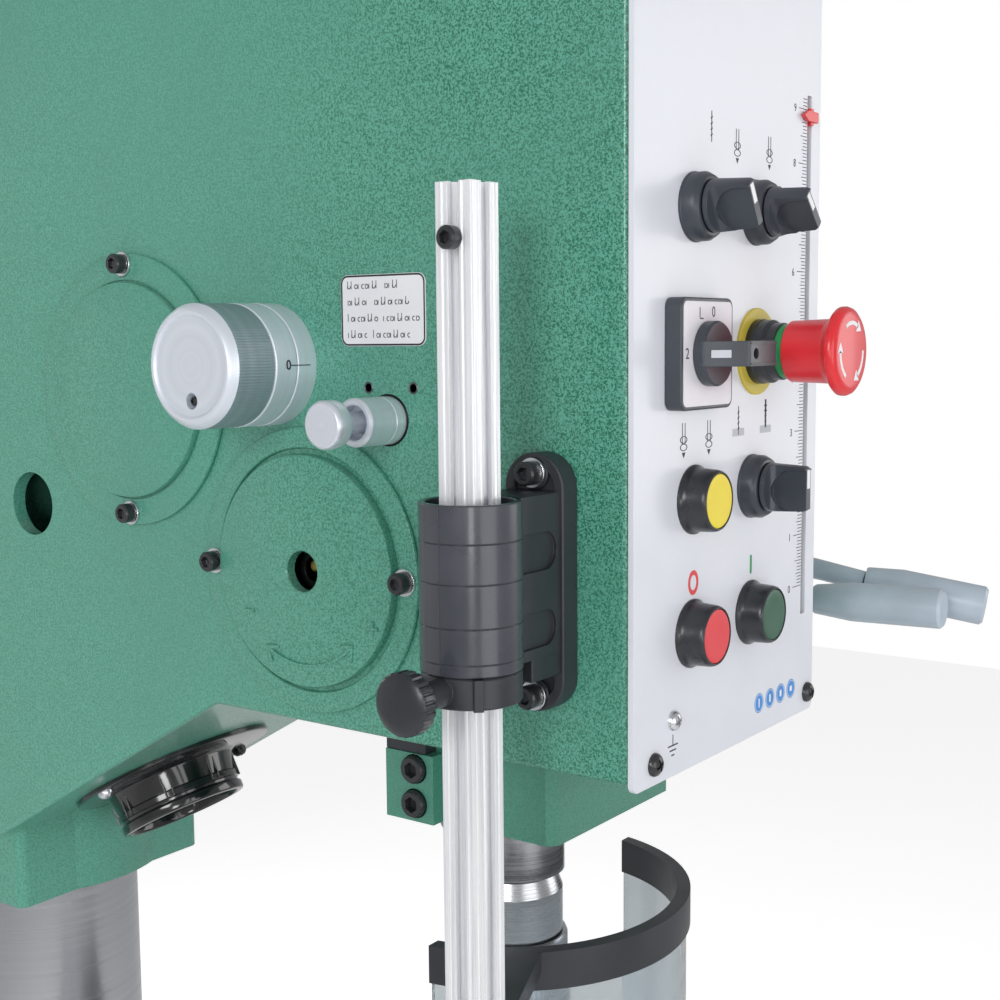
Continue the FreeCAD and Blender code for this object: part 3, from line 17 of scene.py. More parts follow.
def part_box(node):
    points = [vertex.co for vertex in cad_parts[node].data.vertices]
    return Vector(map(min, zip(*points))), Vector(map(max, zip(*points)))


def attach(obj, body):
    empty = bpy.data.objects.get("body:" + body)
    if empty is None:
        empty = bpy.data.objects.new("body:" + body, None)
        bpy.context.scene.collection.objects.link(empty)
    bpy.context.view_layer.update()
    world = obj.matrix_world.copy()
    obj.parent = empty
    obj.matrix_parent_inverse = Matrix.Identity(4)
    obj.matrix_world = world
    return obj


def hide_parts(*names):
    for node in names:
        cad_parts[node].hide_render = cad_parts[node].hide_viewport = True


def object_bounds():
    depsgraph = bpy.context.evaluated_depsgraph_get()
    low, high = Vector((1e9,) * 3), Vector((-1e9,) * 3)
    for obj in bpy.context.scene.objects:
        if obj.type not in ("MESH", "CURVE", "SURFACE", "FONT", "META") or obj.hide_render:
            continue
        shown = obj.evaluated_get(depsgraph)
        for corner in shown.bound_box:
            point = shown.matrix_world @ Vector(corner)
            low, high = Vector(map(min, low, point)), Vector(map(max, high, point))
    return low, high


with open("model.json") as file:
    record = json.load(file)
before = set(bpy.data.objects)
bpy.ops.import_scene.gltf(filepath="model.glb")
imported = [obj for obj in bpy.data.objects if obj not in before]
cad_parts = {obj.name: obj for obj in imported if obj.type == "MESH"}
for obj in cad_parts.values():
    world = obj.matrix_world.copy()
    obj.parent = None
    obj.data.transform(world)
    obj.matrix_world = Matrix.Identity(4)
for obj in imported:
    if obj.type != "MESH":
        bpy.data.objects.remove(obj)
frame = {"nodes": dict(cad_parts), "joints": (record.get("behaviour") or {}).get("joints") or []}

nodes = frame["nodes"]
cad_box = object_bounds()

# %% [markdown]
# ## Measuring the machine
# All drawing is done in millimetres, because a maker thinks in them, and each finished piece is scaled to
# metres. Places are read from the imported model: the box of a node, or the pivot of a joint. A seat is a
# small frame of its own on the surface: its z points out of the surface, its y up and its x to the right.

# %% Places on the machine
MM = 0.001
UP = Vector((0, 0, 1))
LEFT = Vector((-1, 0, 0))
FRONT = Vector((0, -1, 0))
BACK = Vector((0, 1, 0))


def low(node):
    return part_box(node)[0] / MM


def high(node):
    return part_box(node)[1] / MM


def middle(node):
    return (low(node) + high(node)) / 2


def half_height(node):
    return (high(node).z - low(node).z) / 2


def pivot(joint):
    """The point that a hinge turns about."""
    found = next(j for j in frame["joints"] if j["name"] == joint)
    return Vector(found["pos_m"]) / MM


def seat(point, out, up=UP):
    """A frame at point: z points out of the surface, y up, x to the right as seen from outside."""
    out = Vector(out).normalized()
    side = Vector(up).cross(out).normalized()
    return Matrix.Translation(Vector(point)) @ Matrix((side, out.cross(side), out)).transposed().to_4x4()


SIDE_X = high("upper_cover").x
PANEL = low("control_panel")


def on_side(y, z, lift=0.0):
    """A seat on the left side of the head."""
    return seat((SIDE_X - lift, y, z), LEFT)


def on_panel(x, z):
    """A seat on the front panel, measured from its lower left corner."""
    return seat((PANEL.x + x, PANEL.y, PANEL.z + z), FRONT)


def over_panel(point):
    """A seat on the front panel behind a point."""
    return seat((point.x, PANEL.y, point.z), FRONT)


print("left side at", round(SIDE_X, 2), " panel corner at", [round(v, 2) for v in PANEL])

# %% [markdown]
# ## Drawing helpers
# Most of a machine is turned or cut from plate, so two helpers carry most of the work. A turned piece spins
# a half outline about its axis. A plate starts from a cube whose upright edges are bevelled round. A third
# helper takes one shape out of another with a Boolean, as a drill or a mill does.

# %% Turned pieces, plates and prisms
def turned(profile, steps=72, closed=False):
    """Spins an outline of (radius, height) points about z."""
    bm = bmesh.new()
    verts = [bm.verts.new((radius, 0, height)) for radius, height in profile]
    edges = [bm.edges.new(pair) for pair in zip(verts, verts[1:])]
    if closed:
        edges.append(bm.edges.new((verts[-1], verts[0])))
    bmesh.ops.spin(bm, geom=verts + edges, cent=(0, 0, 0), axis=(0, 0, 1), angle=math.tau, steps=steps,
                   use_merge=True)
    bmesh.ops.remove_doubles(bm, verts=bm.verts, dist=0.0005)
    bmesh.ops.recalc_face_normals(bm, faces=bm.faces)
    return bm


def plate(width, height, thickness, corner=0.0):
    """A plate centred on its seat, with round corners."""
    bm = bmesh.new()
    bmesh.ops.create_cube(bm, size=1)
    bmesh.ops.scale(bm, vec=(width, height, thickness), verts=bm.verts)
    bmesh.ops.translate(bm, vec=(0, 0, thickness / 2), verts=bm.verts)
    if corner:
        upright = [e for e in bm.edges if abs(e.verts[0].co.z - e.verts[1].co.z) > thickness / 2]
        bmesh.ops.bevel(bm, geom=upright, offset=corner, segments=7, profile=0.5, affect="EDGES", material=-1)
    return bm


def prism(points, thickness):
    """Extrudes a flat outline of (x, y) points along z."""
    bm = bmesh.new()
    face = bm.faces.new([bm.verts.new((x, y, 0)) for x, y in points])
    grown = bmesh.ops.extrude_face_region(bm, geom=[face])["geom"]
    raised = [v for v in grown if isinstance(v, bmesh.types.BMVert)]
    bmesh.ops.translate(bm, vec=(0, 0, thickness), verts=raised)
    bmesh.ops.recalc_face_normals(bm, faces=bm.faces)
    return bm


def rod(radius, length, segments=32):
    bm = bmesh.new()
    bmesh.ops.create_cone(bm, cap_ends=True, segments=segments, radius1=radius, radius2=radius, depth=length,
                          matrix=Matrix.Translation((0, 0, length / 2)))
    return bm


def arc(x, y, radius, start, end, steps=12):
    """Points along an arc, with its angles in degrees."""
    angles = [math.radians(start + (end - start) * step / steps) for step in range(steps + 1)]
    return [(x + radius * math.cos(angle), y + radius * math.sin(angle)) for angle in angles]


def band(inner, outer, start, end, thickness, steps=24):
    """A flat curved band between two radii."""
    return prism(arc(0, 0, outer, start, end, steps) + arc(0, 0, inner, end, start, steps), thickness)


def ribbed(bm, count, depth, where, valley=0.5):
    """Pushes vertices inwards in count valleys round the axis, where where(radius, height) is true."""
    for vert in bm.verts:
        radius = math.hypot(vert.co.x, vert.co.y)
        if where(radius, vert.co.z):
            share = (math.atan2(vert.co.y, vert.co.x) / math.tau * count + 0.25) % 1
            if share > 1 - valley:
                vert.co.x *= 1 - depth / radius
                vert.co.y *= 1 - depth / radius
    return bm


def put(bm, at):
    bmesh.ops.transform(bm, matrix=at, verts=bm.verts)
    return bm


def along_z(distance):
    """A move along z, which is outwards when it follows a seat."""
    return Matrix.Translation((0, 0, distance))


def about(axis, degrees):
    return Matrix.Rotation(math.radians(degrees), 4, axis)


def shifted(bm, x=0.0, y=0.0, z=0.0, turn=0.0):
    """Turns a shape about z by degrees, then moves it."""
    return put(bm, Matrix.Translation((x, y, z)) @ about("Z", turn))


def finish_with(bm, number):
    """Gives all faces of a shape one of the piece's materials."""
    for face in bm.faces:
        face.material_index = number
    return bm


def together(*shapes):
    """Puts several closed shapes into one bmesh."""
    whole = bmesh.new()
    for shape in shapes:
        mesh = bpy.data.meshes.new("part")
        shape.to_mesh(mesh)
        shape.free()
        whole.from_mesh(mesh)
        bpy.data.meshes.remove(mesh)
    return whole


def scratch_object(bm, name):
    mesh = bpy.data.meshes.new(name)
    bm.to_mesh(mesh)
    bm.free()
    made = bpy.data.objects.new(name, mesh)
    bpy.context.scene.collection.objects.link(made)
    return made


def carved(bm, *tools):
    """Takes the tools away from a shape."""
    body = scratch_object(bm, "blank")
    cutters = [scratch_object(tool, "tool") for tool in tools]
    for cutter in cutters:
        change = body.modifiers.new("cut", "BOOLEAN")
        change.object = cutter
        change.operation = "DIFFERENCE"
        change.solver = "EXACT"
    result = bmesh.new()
    result.from_object(body, bpy.context.evaluated_depsgraph_get())
    for spare in [body, *cutters]:
        bpy.data.objects.remove(spare)
    bmesh.ops.remove_doubles(result, verts=result.verts, dist=0.0005)
    return result


print("helpers ready")

# %% [markdown]
# ## Finishing a piece
# A finished piece sits at the world origin with its place in its mesh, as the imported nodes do. A real edge
# is never perfectly sharp, so most pieces get a small Bevel modifier, which catches a line of light. The
# normals are smooth over round stretches and sharp over the corners that the angle limit leaves.

# %% Pieces and refined castings
CORNER = math.radians(32)
made_pieces = []


def softened(made, edge, limit):
    change = made.modifiers.new("soft edge", "BEVEL")
    change.width = edge * MM
    change.segments = 2
    change.limit_method = limit
    change.angle_limit = CORNER
    change.harden_normals = True
    change.use_clamp_overlap = True


def finished(name, bm, body, finishes, replaced, edge, limit="ANGLE"):
    """An object of a shape in metres. It gets its finishes and soft edges, and rides on its body."""
    mesh = bpy.data.meshes.new(name)
    bm.to_mesh(mesh)
    bm.free()
    if "custom_normal" in mesh.attributes:
        mesh.attributes.remove(mesh.attributes["custom_normal"])
    mesh.shade_smooth()
    mesh.set_sharp_from_angle(angle=CORNER)
    made = bpy.data.objects.new(name, mesh)
    bpy.context.scene.collection.objects.link(made)
    for finish in finishes if isinstance(finishes, list) else [finishes]:
        mesh.materials.append(finish)
    if edge:
        softened(made, edge, limit)
    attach(made, body)
    if replaced:
        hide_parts(*replaced)
    made_pieces.append(made)


def piece(name, bm, body, finishes, at=None, stands_for=(), edge=0.0):
    """Makes a piece of a shape drawn in millimetres, and lets it ride on its body."""
    put(bm, Matrix.Scale(MM, 4) @ (at or Matrix.Identity(4)))
    bmesh.ops.recalc_face_normals(bm, faces=bm.faces)
    finished(name, bm, body, finishes, stands_for, edge)


def refined(node, body, finish, edge, shortest=3.0):
    """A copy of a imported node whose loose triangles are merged, and whose longer corners are softened."""
    bm = bmesh.new()
    bm.from_mesh(nodes[node].data)
    bmesh.ops.remove_doubles(bm, verts=bm.verts, dist=0.000002)
    bmesh.ops.dissolve_limit(bm, angle_limit=math.radians(0.6), verts=bm.verts, edges=bm.edges)
    weight = bm.edges.layers.float.new("bevel_weight_edge")
    for corner in bm.edges:
        if len(corner.link_faces) == 2 and corner.calc_face_angle(0) > CORNER:
            if corner.calc_length() > shortest * MM:
                corner[weight] = 1.0
    finished(node + "_refined", bm, body, finish, [node], edge, "WEIGHT")


print("piece helpers ready")

# %% [markdown]
# ## Shared effects
# Paint, plastic and metal differ in detail that is far smaller than a face, so it comes from textures on
# Object coordinates, which stay with a piece when it moves. Five effects are used again and again, and each
# is a node group: the hammered paint, edge wear with a painted edge highlight, moulded grain, tool marks and
# settled dust.

# %% Node helpers
def link(tree, source, target):
    """Feeds a socket from another node's output, or gives it a plain value."""
    if isinstance(source, bpy.types.NodeSocket):
        tree.links.new(source, target)
    else:
        target.default_value = source


def add(tree, kind, inputs=None, **settings):
    """A node, with its inputs fed by title or number."""
    made = tree.nodes.new(kind)
    for name, value in settings.items():
        setattr(made, name, value)
    for name, source in (inputs or {}).items():
        link(tree, source, made.inputs[name])
    return made


def effect(name, inputs, outputs):
    """An empty node group, with the sockets that it is given and those that it gives out."""
    group = bpy.data.node_groups.new(name, "ShaderNodeTree")
    for title, kind, value in inputs:
        group.interface.new_socket(title, in_out="INPUT", socket_type=kind).default_value = value
    for title, kind in outputs:
        group.interface.new_socket(title, in_out="OUTPUT", socket_type=kind)
    return group, group.nodes.new("NodeGroupInput").outputs, group.nodes.new("NodeGroupOutput").inputs


def calc(tree, operation, first, second):
    return add(tree, "ShaderNodeMath", {0: first, 1: second}, operation=operation).outputs[0]


def product(tree, first, *others):
    for other in others:
        first = calc(tree, "MULTIPLY", first, other)
    return first


def vector_calc(tree, operation, *inputs):
    return add(tree, "ShaderNodeVectorMath", dict(enumerate(inputs)), operation=operation).outputs


def noise(tree, where, scale, detail, roughness=0.5, distortion=0.0):
    """The value of a noise texture at a place."""
    return add(tree, "ShaderNodeTexNoise", {"Vector": where, "Scale": scale, "Detail": detail,
                                            "Roughness": roughness, "Distortion": distortion}).outputs["Fac"]


def spread(tree, value, low_in, high_in, low_out=0.0, high_out=1.0):
    """A smooth Map Range of a value."""
    limits = {"From Min": low_in, "From Max": high_in, "To Min": low_out, "To Max": high_out}
    return add(tree, "ShaderNodeMapRange", {"Value": value, **limits},
               interpolation_type="SMOOTHSTEP").outputs["Result"]


def blend_colours(tree, share, first, second):
    return add(tree, "ShaderNodeMix", {"Factor": share, 6: first, 7: second}, data_type="RGBA").outputs[2]


def colour(red, green, blue):
    """A colour given as it looks on a screen, 0 to 255, as the light values that a shader needs."""
    parts = [value / 255 for value in (red, green, blue)]
    light = [part / 12.92 if part <= 0.04045 else ((part + 0.055) / 1.055) ** 2.4 for part in parts]
    return (*light, 1.0)


# %% Hammered paint
VECTOR, FLOAT, COLOUR = "NodeSocketVector", "NodeSocketFloat", "NodeSocketColor"
WHERE = ("Where", VECTOR, (0, 0, 0))

hammered, given, out = effect(
    "hammered_paint",
    [WHERE, ("Spots per Metre", FLOAT, 850), ("Contrast", FLOAT, 1.0),
     ("Light", COLOUR, (0.1, 0.4, 0.3, 1)), ("Dark", COLOUR, (0.03, 0.2, 0.13, 1))],
    [("Color", COLOUR), ("Height", FLOAT), ("Roughness", FLOAT)],
)
spots = spread(hammered, noise(hammered, given["Where"], given["Spots per Metre"], 1.2, 0.5, 0.9), 0.44, 0.60)
patches = noise(hammered, given["Where"], 9.0, 2.0)
place = add(hammered, "ShaderNodeSeparateXYZ", {0: given["Where"]})
# The spots show stronger towards the front: painted light, for how the light falls across the side.
painted_light_towards_front = spread(hammered, place.outputs["Y"], 0.16, -0.13, 0.42, 1.15)
strength = product(hammered, spread(hammered, patches, 0.36, 0.66, 0.75, 1.15), painted_light_towards_front)
share = product(hammered, product(hammered, spots, strength), given["Contrast"])
tone = spread(hammered, patches, 0.3, 0.7, 0.94, 1.05)
mixed = blend_colours(hammered, share, given["Light"], given["Dark"])
shaded = add(hammered, "ShaderNodeVectorMath", {0: mixed, "Scale": tone}, operation="SCALE")
link(hammered, shaded.outputs[0], out["Color"])
link(hammered, calc(hammered, "SUBTRACT", 1.0, spots), out["Height"])
link(hammered, spread(hammered, spots, 0.0, 1.0, 0.34, 0.46), out["Roughness"])
print("hammered paint has", len(hammered.nodes), "nodes")

# %% Edge wear with painted edge highlight, moulded grain, tool marks and dust
# The edge mask pales rounded edges: partly wear, partly a painted highlight where the rounding catches light.
wear_and_highlight, given, out = effect("edge_wear_and_highlight", [WHERE, ("Radius", FLOAT, 0.001), ("Amount", FLOAT, 1.0)],
                          [("Mask", FLOAT), ("Normal", VECTOR)])
rounding = add(wear_and_highlight, "ShaderNodeBevel", {"Radius": given["Radius"]}, samples=4).outputs["Normal"]
flat = add(wear_and_highlight, "ShaderNodeNewGeometry").outputs["Normal"]
agree = vector_calc(wear_and_highlight, "DOT_PRODUCT", rounding, flat)["Value"]
bent = spread(wear_and_highlight, calc(wear_and_highlight, "SUBTRACT", 1.0, agree), 0.02, 0.22)
patchy = spread(wear_and_highlight, noise(wear_and_highlight, given["Where"], 160.0, 4.0), 0.40, 0.62, 0.15, 1.0)
link(wear_and_highlight, product(wear_and_highlight, bent, patchy, given["Amount"]), out["Mask"])
link(wear_and_highlight, rounding, out["Normal"])

grain, given, out = effect("moulded_grain", [WHERE, ("Grains per Metre", FLOAT, 1800)],
                           [("Height", FLOAT), ("Smears", FLOAT)])
link(grain, noise(grain, given["Where"], given["Grains per Metre"], 2.0, 0.6), out["Height"])
link(grain, noise(grain, given["Where"], 38.0, 3.0), out["Smears"])

lathe, given, out = effect(
    "tool_marks",
    [WHERE, ("Centre", VECTOR, (0, 0, 0)), ("Axis", VECTOR, (0, 0, 1)), ("Lines per Metre", FLOAT, 2500)],
    [("Height", FLOAT), ("Sheen", FLOAT)],
)
offset = vector_calc(lathe, "SUBTRACT", given["Where"], given["Centre"])[0]
aside = vector_calc(lathe, "CROSS_PRODUCT", offset, given["Axis"])[0]
reach = vector_calc(lathe, "LENGTH", aside)["Value"]
travel = calc(lathe, "ADD", reach, vector_calc(lathe, "DOT_PRODUCT", offset, given["Axis"])["Value"])


def lines_of(per_metre, detail, roughness):
    """Lines across the way that the tool travels, over the face and along the barrel."""
    values = {"W": product(lathe, travel, per_metre), "Scale": 1.0, "Detail": detail, "Roughness": roughness}
    return add(lathe, "ShaderNodeTexNoise", values, noise_dimensions="1D").outputs["Fac"]


lines = lines_of(given["Lines per Metre"], 3.0, 0.6)
link(lathe, lines, out["Height"])
link(lathe, product(lathe, calc(lathe, "ADD", lines, lines_of(240.0, 1.0, 0.5)), 0.5), out["Sheen"])

dust, given, out = effect("settled_dust", [WHERE, ("Facing", VECTOR, (0, 0, 1)), ("Amount", FLOAT, 0.3)],
                          [("Mask", FLOAT)])
upward = add(dust, "ShaderNodeSeparateXYZ", {0: given["Facing"]}).outputs["Z"]
flecks = noise(dust, given["Where"], 55.0, 6.0, 0.7)
link(dust, product(dust, spread(dust, upward, 0.4, 0.95), spread(dust, flecks, 0.42, 0.72), given["Amount"]),
     out["Mask"])
print("effects:", [group.name for group in bpy.data.node_groups])

# %% [markdown]
# ## Finishes
# Each finish has its own colour, gloss and fine relief. The shader itself stays in the material, and only
# the patterns come from the groups. A paint has a clear coat over it, and so have the glossier plastics.

# %% The makers of finishes
def start(name, **settings):
    """A new material, its node tree, its shader's sockets and the coordinates of its piece.

    The settings are plain values. An underscore in a name stands for a space.
    """
    made = bpy.data.materials.new(name)
    made.use_nodes = True
    tree = made.node_tree
    shader = tree.nodes["Principled BSDF"].inputs
    for title, value in settings.items():
        shader[title.replace("_", " ")].default_value = value
    return made, tree, shader, add(tree, "ShaderNodeTexCoord").outputs


def use(tree, group, where, **inputs):
    """Places a shared effect. An underscore in a name stands for a space."""
    named = {title.replace("_", " "): value for title, value in inputs.items()}
    return add(tree, "ShaderNodeGroup", {"Where": where["Object"], **named}, node_tree=group).outputs


def relief(tree, shader, height, depth, strength, **base):
    inputs = {"Height": height, "Strength": strength, "Distance": depth * MM, **base}
    bump = add(tree, "ShaderNodeBump", inputs)
    link(tree, bump.outputs["Normal"], shader["Normal"])


def dress(tree, shader, edges, body, rubbed_and_highlit, gloss, height, depth, strength):
    """Joins a finish's colour, its edge tone of wear and painted highlight, its gloss and its relief to the
    shader.
    """
    link(tree, blend_colours(tree, edges["Mask"], body, rubbed_and_highlit), shader["Base Color"])
    link(tree, gloss, shader["Roughness"])
    relief(tree, shader, height, depth, strength, Normal=edges["Normal"])


def toned(base, share, lift=0.0):
    """A lighter or darker shade of a colour."""
    return tuple(min(1.0, part * share + lift) for part in base[:3]) + (1.0,)


PAINT_LIGHT = colour(96, 172, 150)
PAINT_DARK = colour(30, 116, 88)


def hammered_paint(name, contrast, light=PAINT_LIGHT, dark=PAINT_DARK):
    made, tree, shader, where = start(name, Coat_Weight=0.55, Coat_Roughness=0.16, IOR=1.5)
    paint = use(tree, hammered, where, Spots_per_Metre=1050, Contrast=contrast, Light=light, Dark=dark)
    edges = use(tree, wear_and_highlight, where, Radius=0.6 * MM, Amount=0.2)
    fallen = use(tree, dust, where, Facing=where["Normal"], Amount=0.25)
    # Painted highlight: rounded edges turn pale green, partly as wear of the paint.
    lit = blend_colours(tree, edges["Mask"], paint["Color"], colour(150, 205, 188))
    link(tree, blend_colours(tree, fallen["Mask"], lit, colour(190, 196, 190)), shader["Base Color"])
    link(tree, paint["Roughness"], shader["Roughness"])
    relief(tree, shader, paint["Height"], 0.35, 0.5, Normal=edges["Normal"])
    return made


def moulded(name, base, roughness, grains=1800, depth=0.08, coat=0.0, smear=0.12, edge_wear_and_highlight_tone=None):
    """Moulded plastic, with a grain, soft smears and paler edges, partly wear and partly a painted highlight.
    """
    made, tree, shader, where = start(name, Coat_Weight=coat, Coat_Roughness=0.12, IOR=1.49)
    fine = use(tree, grain, where, Grains_per_Metre=grains)
    edges = use(tree, wear_and_highlight, where, Radius=0.4 * MM, Amount=0.5)
    tone = edge_wear_and_highlight_tone or toned(base, 1.6, 0.02)
    varied = blend_colours(tree, spread(tree, fine["Smears"], 0.3, 0.7, 0.0, 0.22), base, tone)
    gloss = spread(tree, fine["Smears"], 0.3, 0.7, roughness - smear / 2, roughness + smear / 2)
    dress(tree, shader, edges, varied, tone, gloss, fine["Height"], depth, 0.3)
    return made


def machined(name, base, roughness, centre=(0, 0, 0), axis=(0, 0, 1), lines_per_metre=2600, metallic=1.0,
             dark_share=0.80):
    """Turned metal, with tool marks about an axis."""
    made, tree, shader, where = start(name, Metallic=metallic, IOR=1.8)
    cuts = use(tree, lathe, where, Centre=tuple(Vector(centre) * MM), Axis=tuple(axis),
               Lines_per_Metre=lines_per_metre)
    edges = use(tree, wear_and_highlight, where, Radius=0.4 * MM, Amount=0.6)
    varied = blend_colours(tree, spread(tree, cuts["Sheen"], 0.32, 0.68), toned(base, dark_share), base)
    gloss = spread(tree, cuts["Sheen"], 0.3, 0.7, roughness + 0.08, roughness - 0.06)
    # Edges get a lighter tone: partly wear, partly a painted highlight.
    dress(tree, shader, edges, varied, toned(base, 1.25), gloss, cuts["Height"], 0.03, 0.35)
    return made


def drawn(name, light, dark, roughness, metallic):
    """Metal pulled through a die: fine streaks that run along z."""
    made, tree, shader, where = start(name, Metallic=metallic, IOR=1.6)
    stretch = add(tree, "ShaderNodeMapping", {"Vector": where["Object"], "Scale": (1.0, 1.0, 0.015)})
    streaks = noise(tree, stretch.outputs["Vector"], 900.0, 3.0, 0.6)
    edges = use(tree, wear_and_highlight, where, Radius=0.3 * MM, Amount=0.5)
    varied = blend_colours(tree, spread(tree, streaks, 0.36, 0.62), dark, light)
    gloss = spread(tree, streaks, 0.3, 0.7, roughness + 0.06, roughness - 0.06)
    # Edges turn near white: partly wear, partly a painted highlight.
    dress(tree, shader, edges, varied, colour(246, 247, 250), gloss, streaks, 0.02, 0.3)
    return made


print("finish makers ready")

# %% The machine's finishes
green_paint = hammered_paint("green_hammered_paint", 1.0)
# A darker, calmer copy of the same hammered green: painted shade, as on the clamp under the head. The terminal
# box and the grille use it too.
green_calm_shaded = hammered_paint("green_calm_shaded_paint", 0.40, colour(76, 148, 126), colour(36, 108, 86))
panel_white = moulded("panel_satin_white", colour(226, 229, 237), 0.34, 700, 0.05, 0.15, 0.06,
                      edge_wear_and_highlight_tone=colour(240, 242, 248))
black_satin = moulded("black_satin_plastic", colour(46, 48, 54), 0.40, 1500, 0.10)
tube_black = moulded("tube_gloss_black_plastic", colour(62, 65, 73), 0.27, 1500, 0.06, 0.25)
black_smooth = moulded("black_smooth_plastic", colour(38, 41, 46), 0.30, 900, 0.04, 0.1)
selector_black = moulded("selector_blue_black", colour(56, 61, 69), 0.34, 1300, 0.05)
gloss_black = moulded("lamp_gloss_black", colour(18, 18, 20), 0.12, 300, 0.03, 0.6, 0.05,
                      edge_wear_and_highlight_tone=colour(70, 70, 74))
black_oxide = moulded("screw_black_oxide", colour(42, 43, 46), 0.30, 2200, 0.05, 0.2, 0.10)
grip_grey = moulded("grip_satin_grey", colour(176, 188, 200), 0.34, 1100, 0.05, 0.1)
red_plastic = moulded("signal_red_plastic", colour(222, 40, 48), 0.30, 900, 0.04, 0.2, 0.08)
red_cap = moulded("button_red_plastic", colour(222, 66, 72), 0.42, 900, 0.05)
ring_yellow = moulded("ring_soft_yellow_plastic", colour(206, 188, 74), 0.45, 900, 0.05)
yellow_plastic = moulded("signal_yellow_plastic", colour(236, 208, 52), 0.40, 900, 0.05)
green_plastic = moulded("dark_green_plastic", colour(48, 92, 72), 0.36, 900, 0.05)
green_ring = moulded("bright_green_plastic", colour(28, 138, 72), 0.36, 900, 0.05)
ink_black = moulded("mark_black_ink", colour(40, 44, 50), 0.55, 1500, 0.01)
ink_soft = moulded("mark_soft_grey_ink", colour(74, 78, 86), 0.55, 1500, 0.01)
ink_white = moulded("mark_white_ink", colour(240, 242, 246), 0.50, 1500, 0.01)
ink_red = moulded("mark_red_ink", colour(228, 64, 66), 0.50, 1500, 0.01)
ink_green = moulded("mark_green_ink", colour(40, 150, 96), 0.50, 1500, 0.01)
ink_blue = moulded("mark_blue_ink", colour(70, 140, 214), 0.50, 1500, 0.01)
ink_grey = moulded("mark_grey_ink", colour(188, 192, 200), 0.50, 1500, 0.01)
label_white = moulded("label_satin_white", colour(236, 237, 242), 0.40, 700, 0.03, 0.1, 0.06)
switch_face = moulded("switch_face_pale", colour(222, 218, 226), 0.34, 700, 0.03, 0.2, 0.06)
bright_zinc = machined("bright_zinc", colour(232, 234, 238), 0.24)
ground_steel = machined("ground_steel", colour(196, 198, 202), 0.26)
dark_steel = machined("dark_steel", colour(120, 122, 126), 0.36)
blued_steel = machined("blued_spring_steel", colour(70, 80, 104), 0.30)
brass = machined("brass", colour(200, 168, 96), 0.34)
# A dark oily steel, also used as painted shade: on the shaft seen through the spring cover's hole, in the
# tapped holes and round the drift sleeve.
oily_steel_and_shade = machined("oily_steel_and_painted_shade", colour(54, 55, 58), 0.34, dark_share=0.6)
extruded = drawn("bar_extruded_aluminium", colour(248, 249, 251), colour(226, 228, 233), 0.30, 0.2)
dial_axis = pivot("feed_dial_turn")
dial_satin = machined("dial_satin_silver", colour(230, 236, 246), 0.44, dial_axis, LEFT, 1800, 0.4, 0.93)
# A darker copy of the dial's silver for the knurled band: painted shade in its fine ribs.
knurl_shaded_silver = machined("knurled_silver_shaded", colour(176, 186, 196), 0.38, dial_axis, LEFT, 1800, 0.5, 0.9)
# A near black for behind the slot of the depth scale: painted shade inside the head.
slot_shade_black = moulded("slot_painted_shade_black", colour(22, 23, 26), 0.6, 1300, 0.05)
drift_satin = machined("drift_satin_silver", colour(230, 235, 245), 0.32, middle("drift_sleeve"), LEFT, 1800,
                       0.45, dark_share=0.93)
print("finishes:", len(bpy.data.materials))

# %% Cast iron, steel in use, and clear plastic
cast_iron, tree, shader, where = start("machined_cast_iron", Metallic=0.85, IOR=1.6)
fine = use(tree, grain, where, Grains_per_Metre=900)
sweep = {"Vector": where["Object"], "Scale": 36.0, "Distortion": 0.6, "Detail": 1.0}
cutter = add(tree, "ShaderNodeTexWave", sweep, wave_type="RINGS", rings_direction="Z").outputs["Fac"]
edges = use(tree, wear_and_highlight, where, Radius=1.2 * MM, Amount=0.7)
tone = blend_colours(tree, spread(tree, fine["Smears"], 0.3, 0.7),
                     colour(140, 142, 144), colour(172, 174, 177))
swept = blend_colours(tree, product(tree, cutter, 0.25), tone, colour(190, 192, 195))
gloss = spread(tree, fine["Smears"], 0.3, 0.7, 0.42, 0.28)
# Edges turn bright grey: partly wear of the iron, partly a painted highlight.
dress(tree, shader, edges, swept, colour(214, 216, 220), gloss, fine["Height"], 0.05, 0.25)

column_steel = machined("ground_column_steel", colour(190, 192, 197), 0.20, middle("column"), UP, 1500,
                        dark_share=0.93)


def clear_plastic(name, tint, scuffed):
    made, tree, shader, where = start(name, Transmission_Weight=0.92, Metallic=0.0, IOR=1.45)
    scuffs = use(tree, grain, where, Grains_per_Metre=400)
    link(tree, blend_colours(tree, scuffs["Smears"], tint, scuffed), shader["Base Color"])
    link(tree, spread(tree, scuffs["Smears"], 0.35, 0.75, 0.05, 0.16), shader["Roughness"])
    relief(tree, shader, scuffs["Height"], 0.02, 0.15)
    return made


lens_clear = clear_plastic("lamp_lens_clear", colour(236, 240, 244), colour(214, 222, 228))
shield_clear = clear_plastic("shield_clear", colour(238, 244, 247), colour(220, 232, 238))
print("finishes:", len(bpy.data.materials))

# %% [markdown]
# ## Camera, light and floor
# The camera stands close to the left front corner of the head, at the height of the dial, and looks slightly
# down. Three strong soft lights stand in front, at the left and behind, and three weaker ones between them,
# so round parts have a bright side and a shaded side. The world and the floor are pale, so black plastic and
# steel have something to mirror. To the camera the world is white, and the floor glows a little.

# %% Camera
CAMERA_AT = Vector((-0.5843, -0.4183, 1.5161))
CAMERA_YAW = math.radians(36.04)
CAMERA_DOWN = math.radians(6.33)
CAMERA_ROLL = math.radians(-0.49)

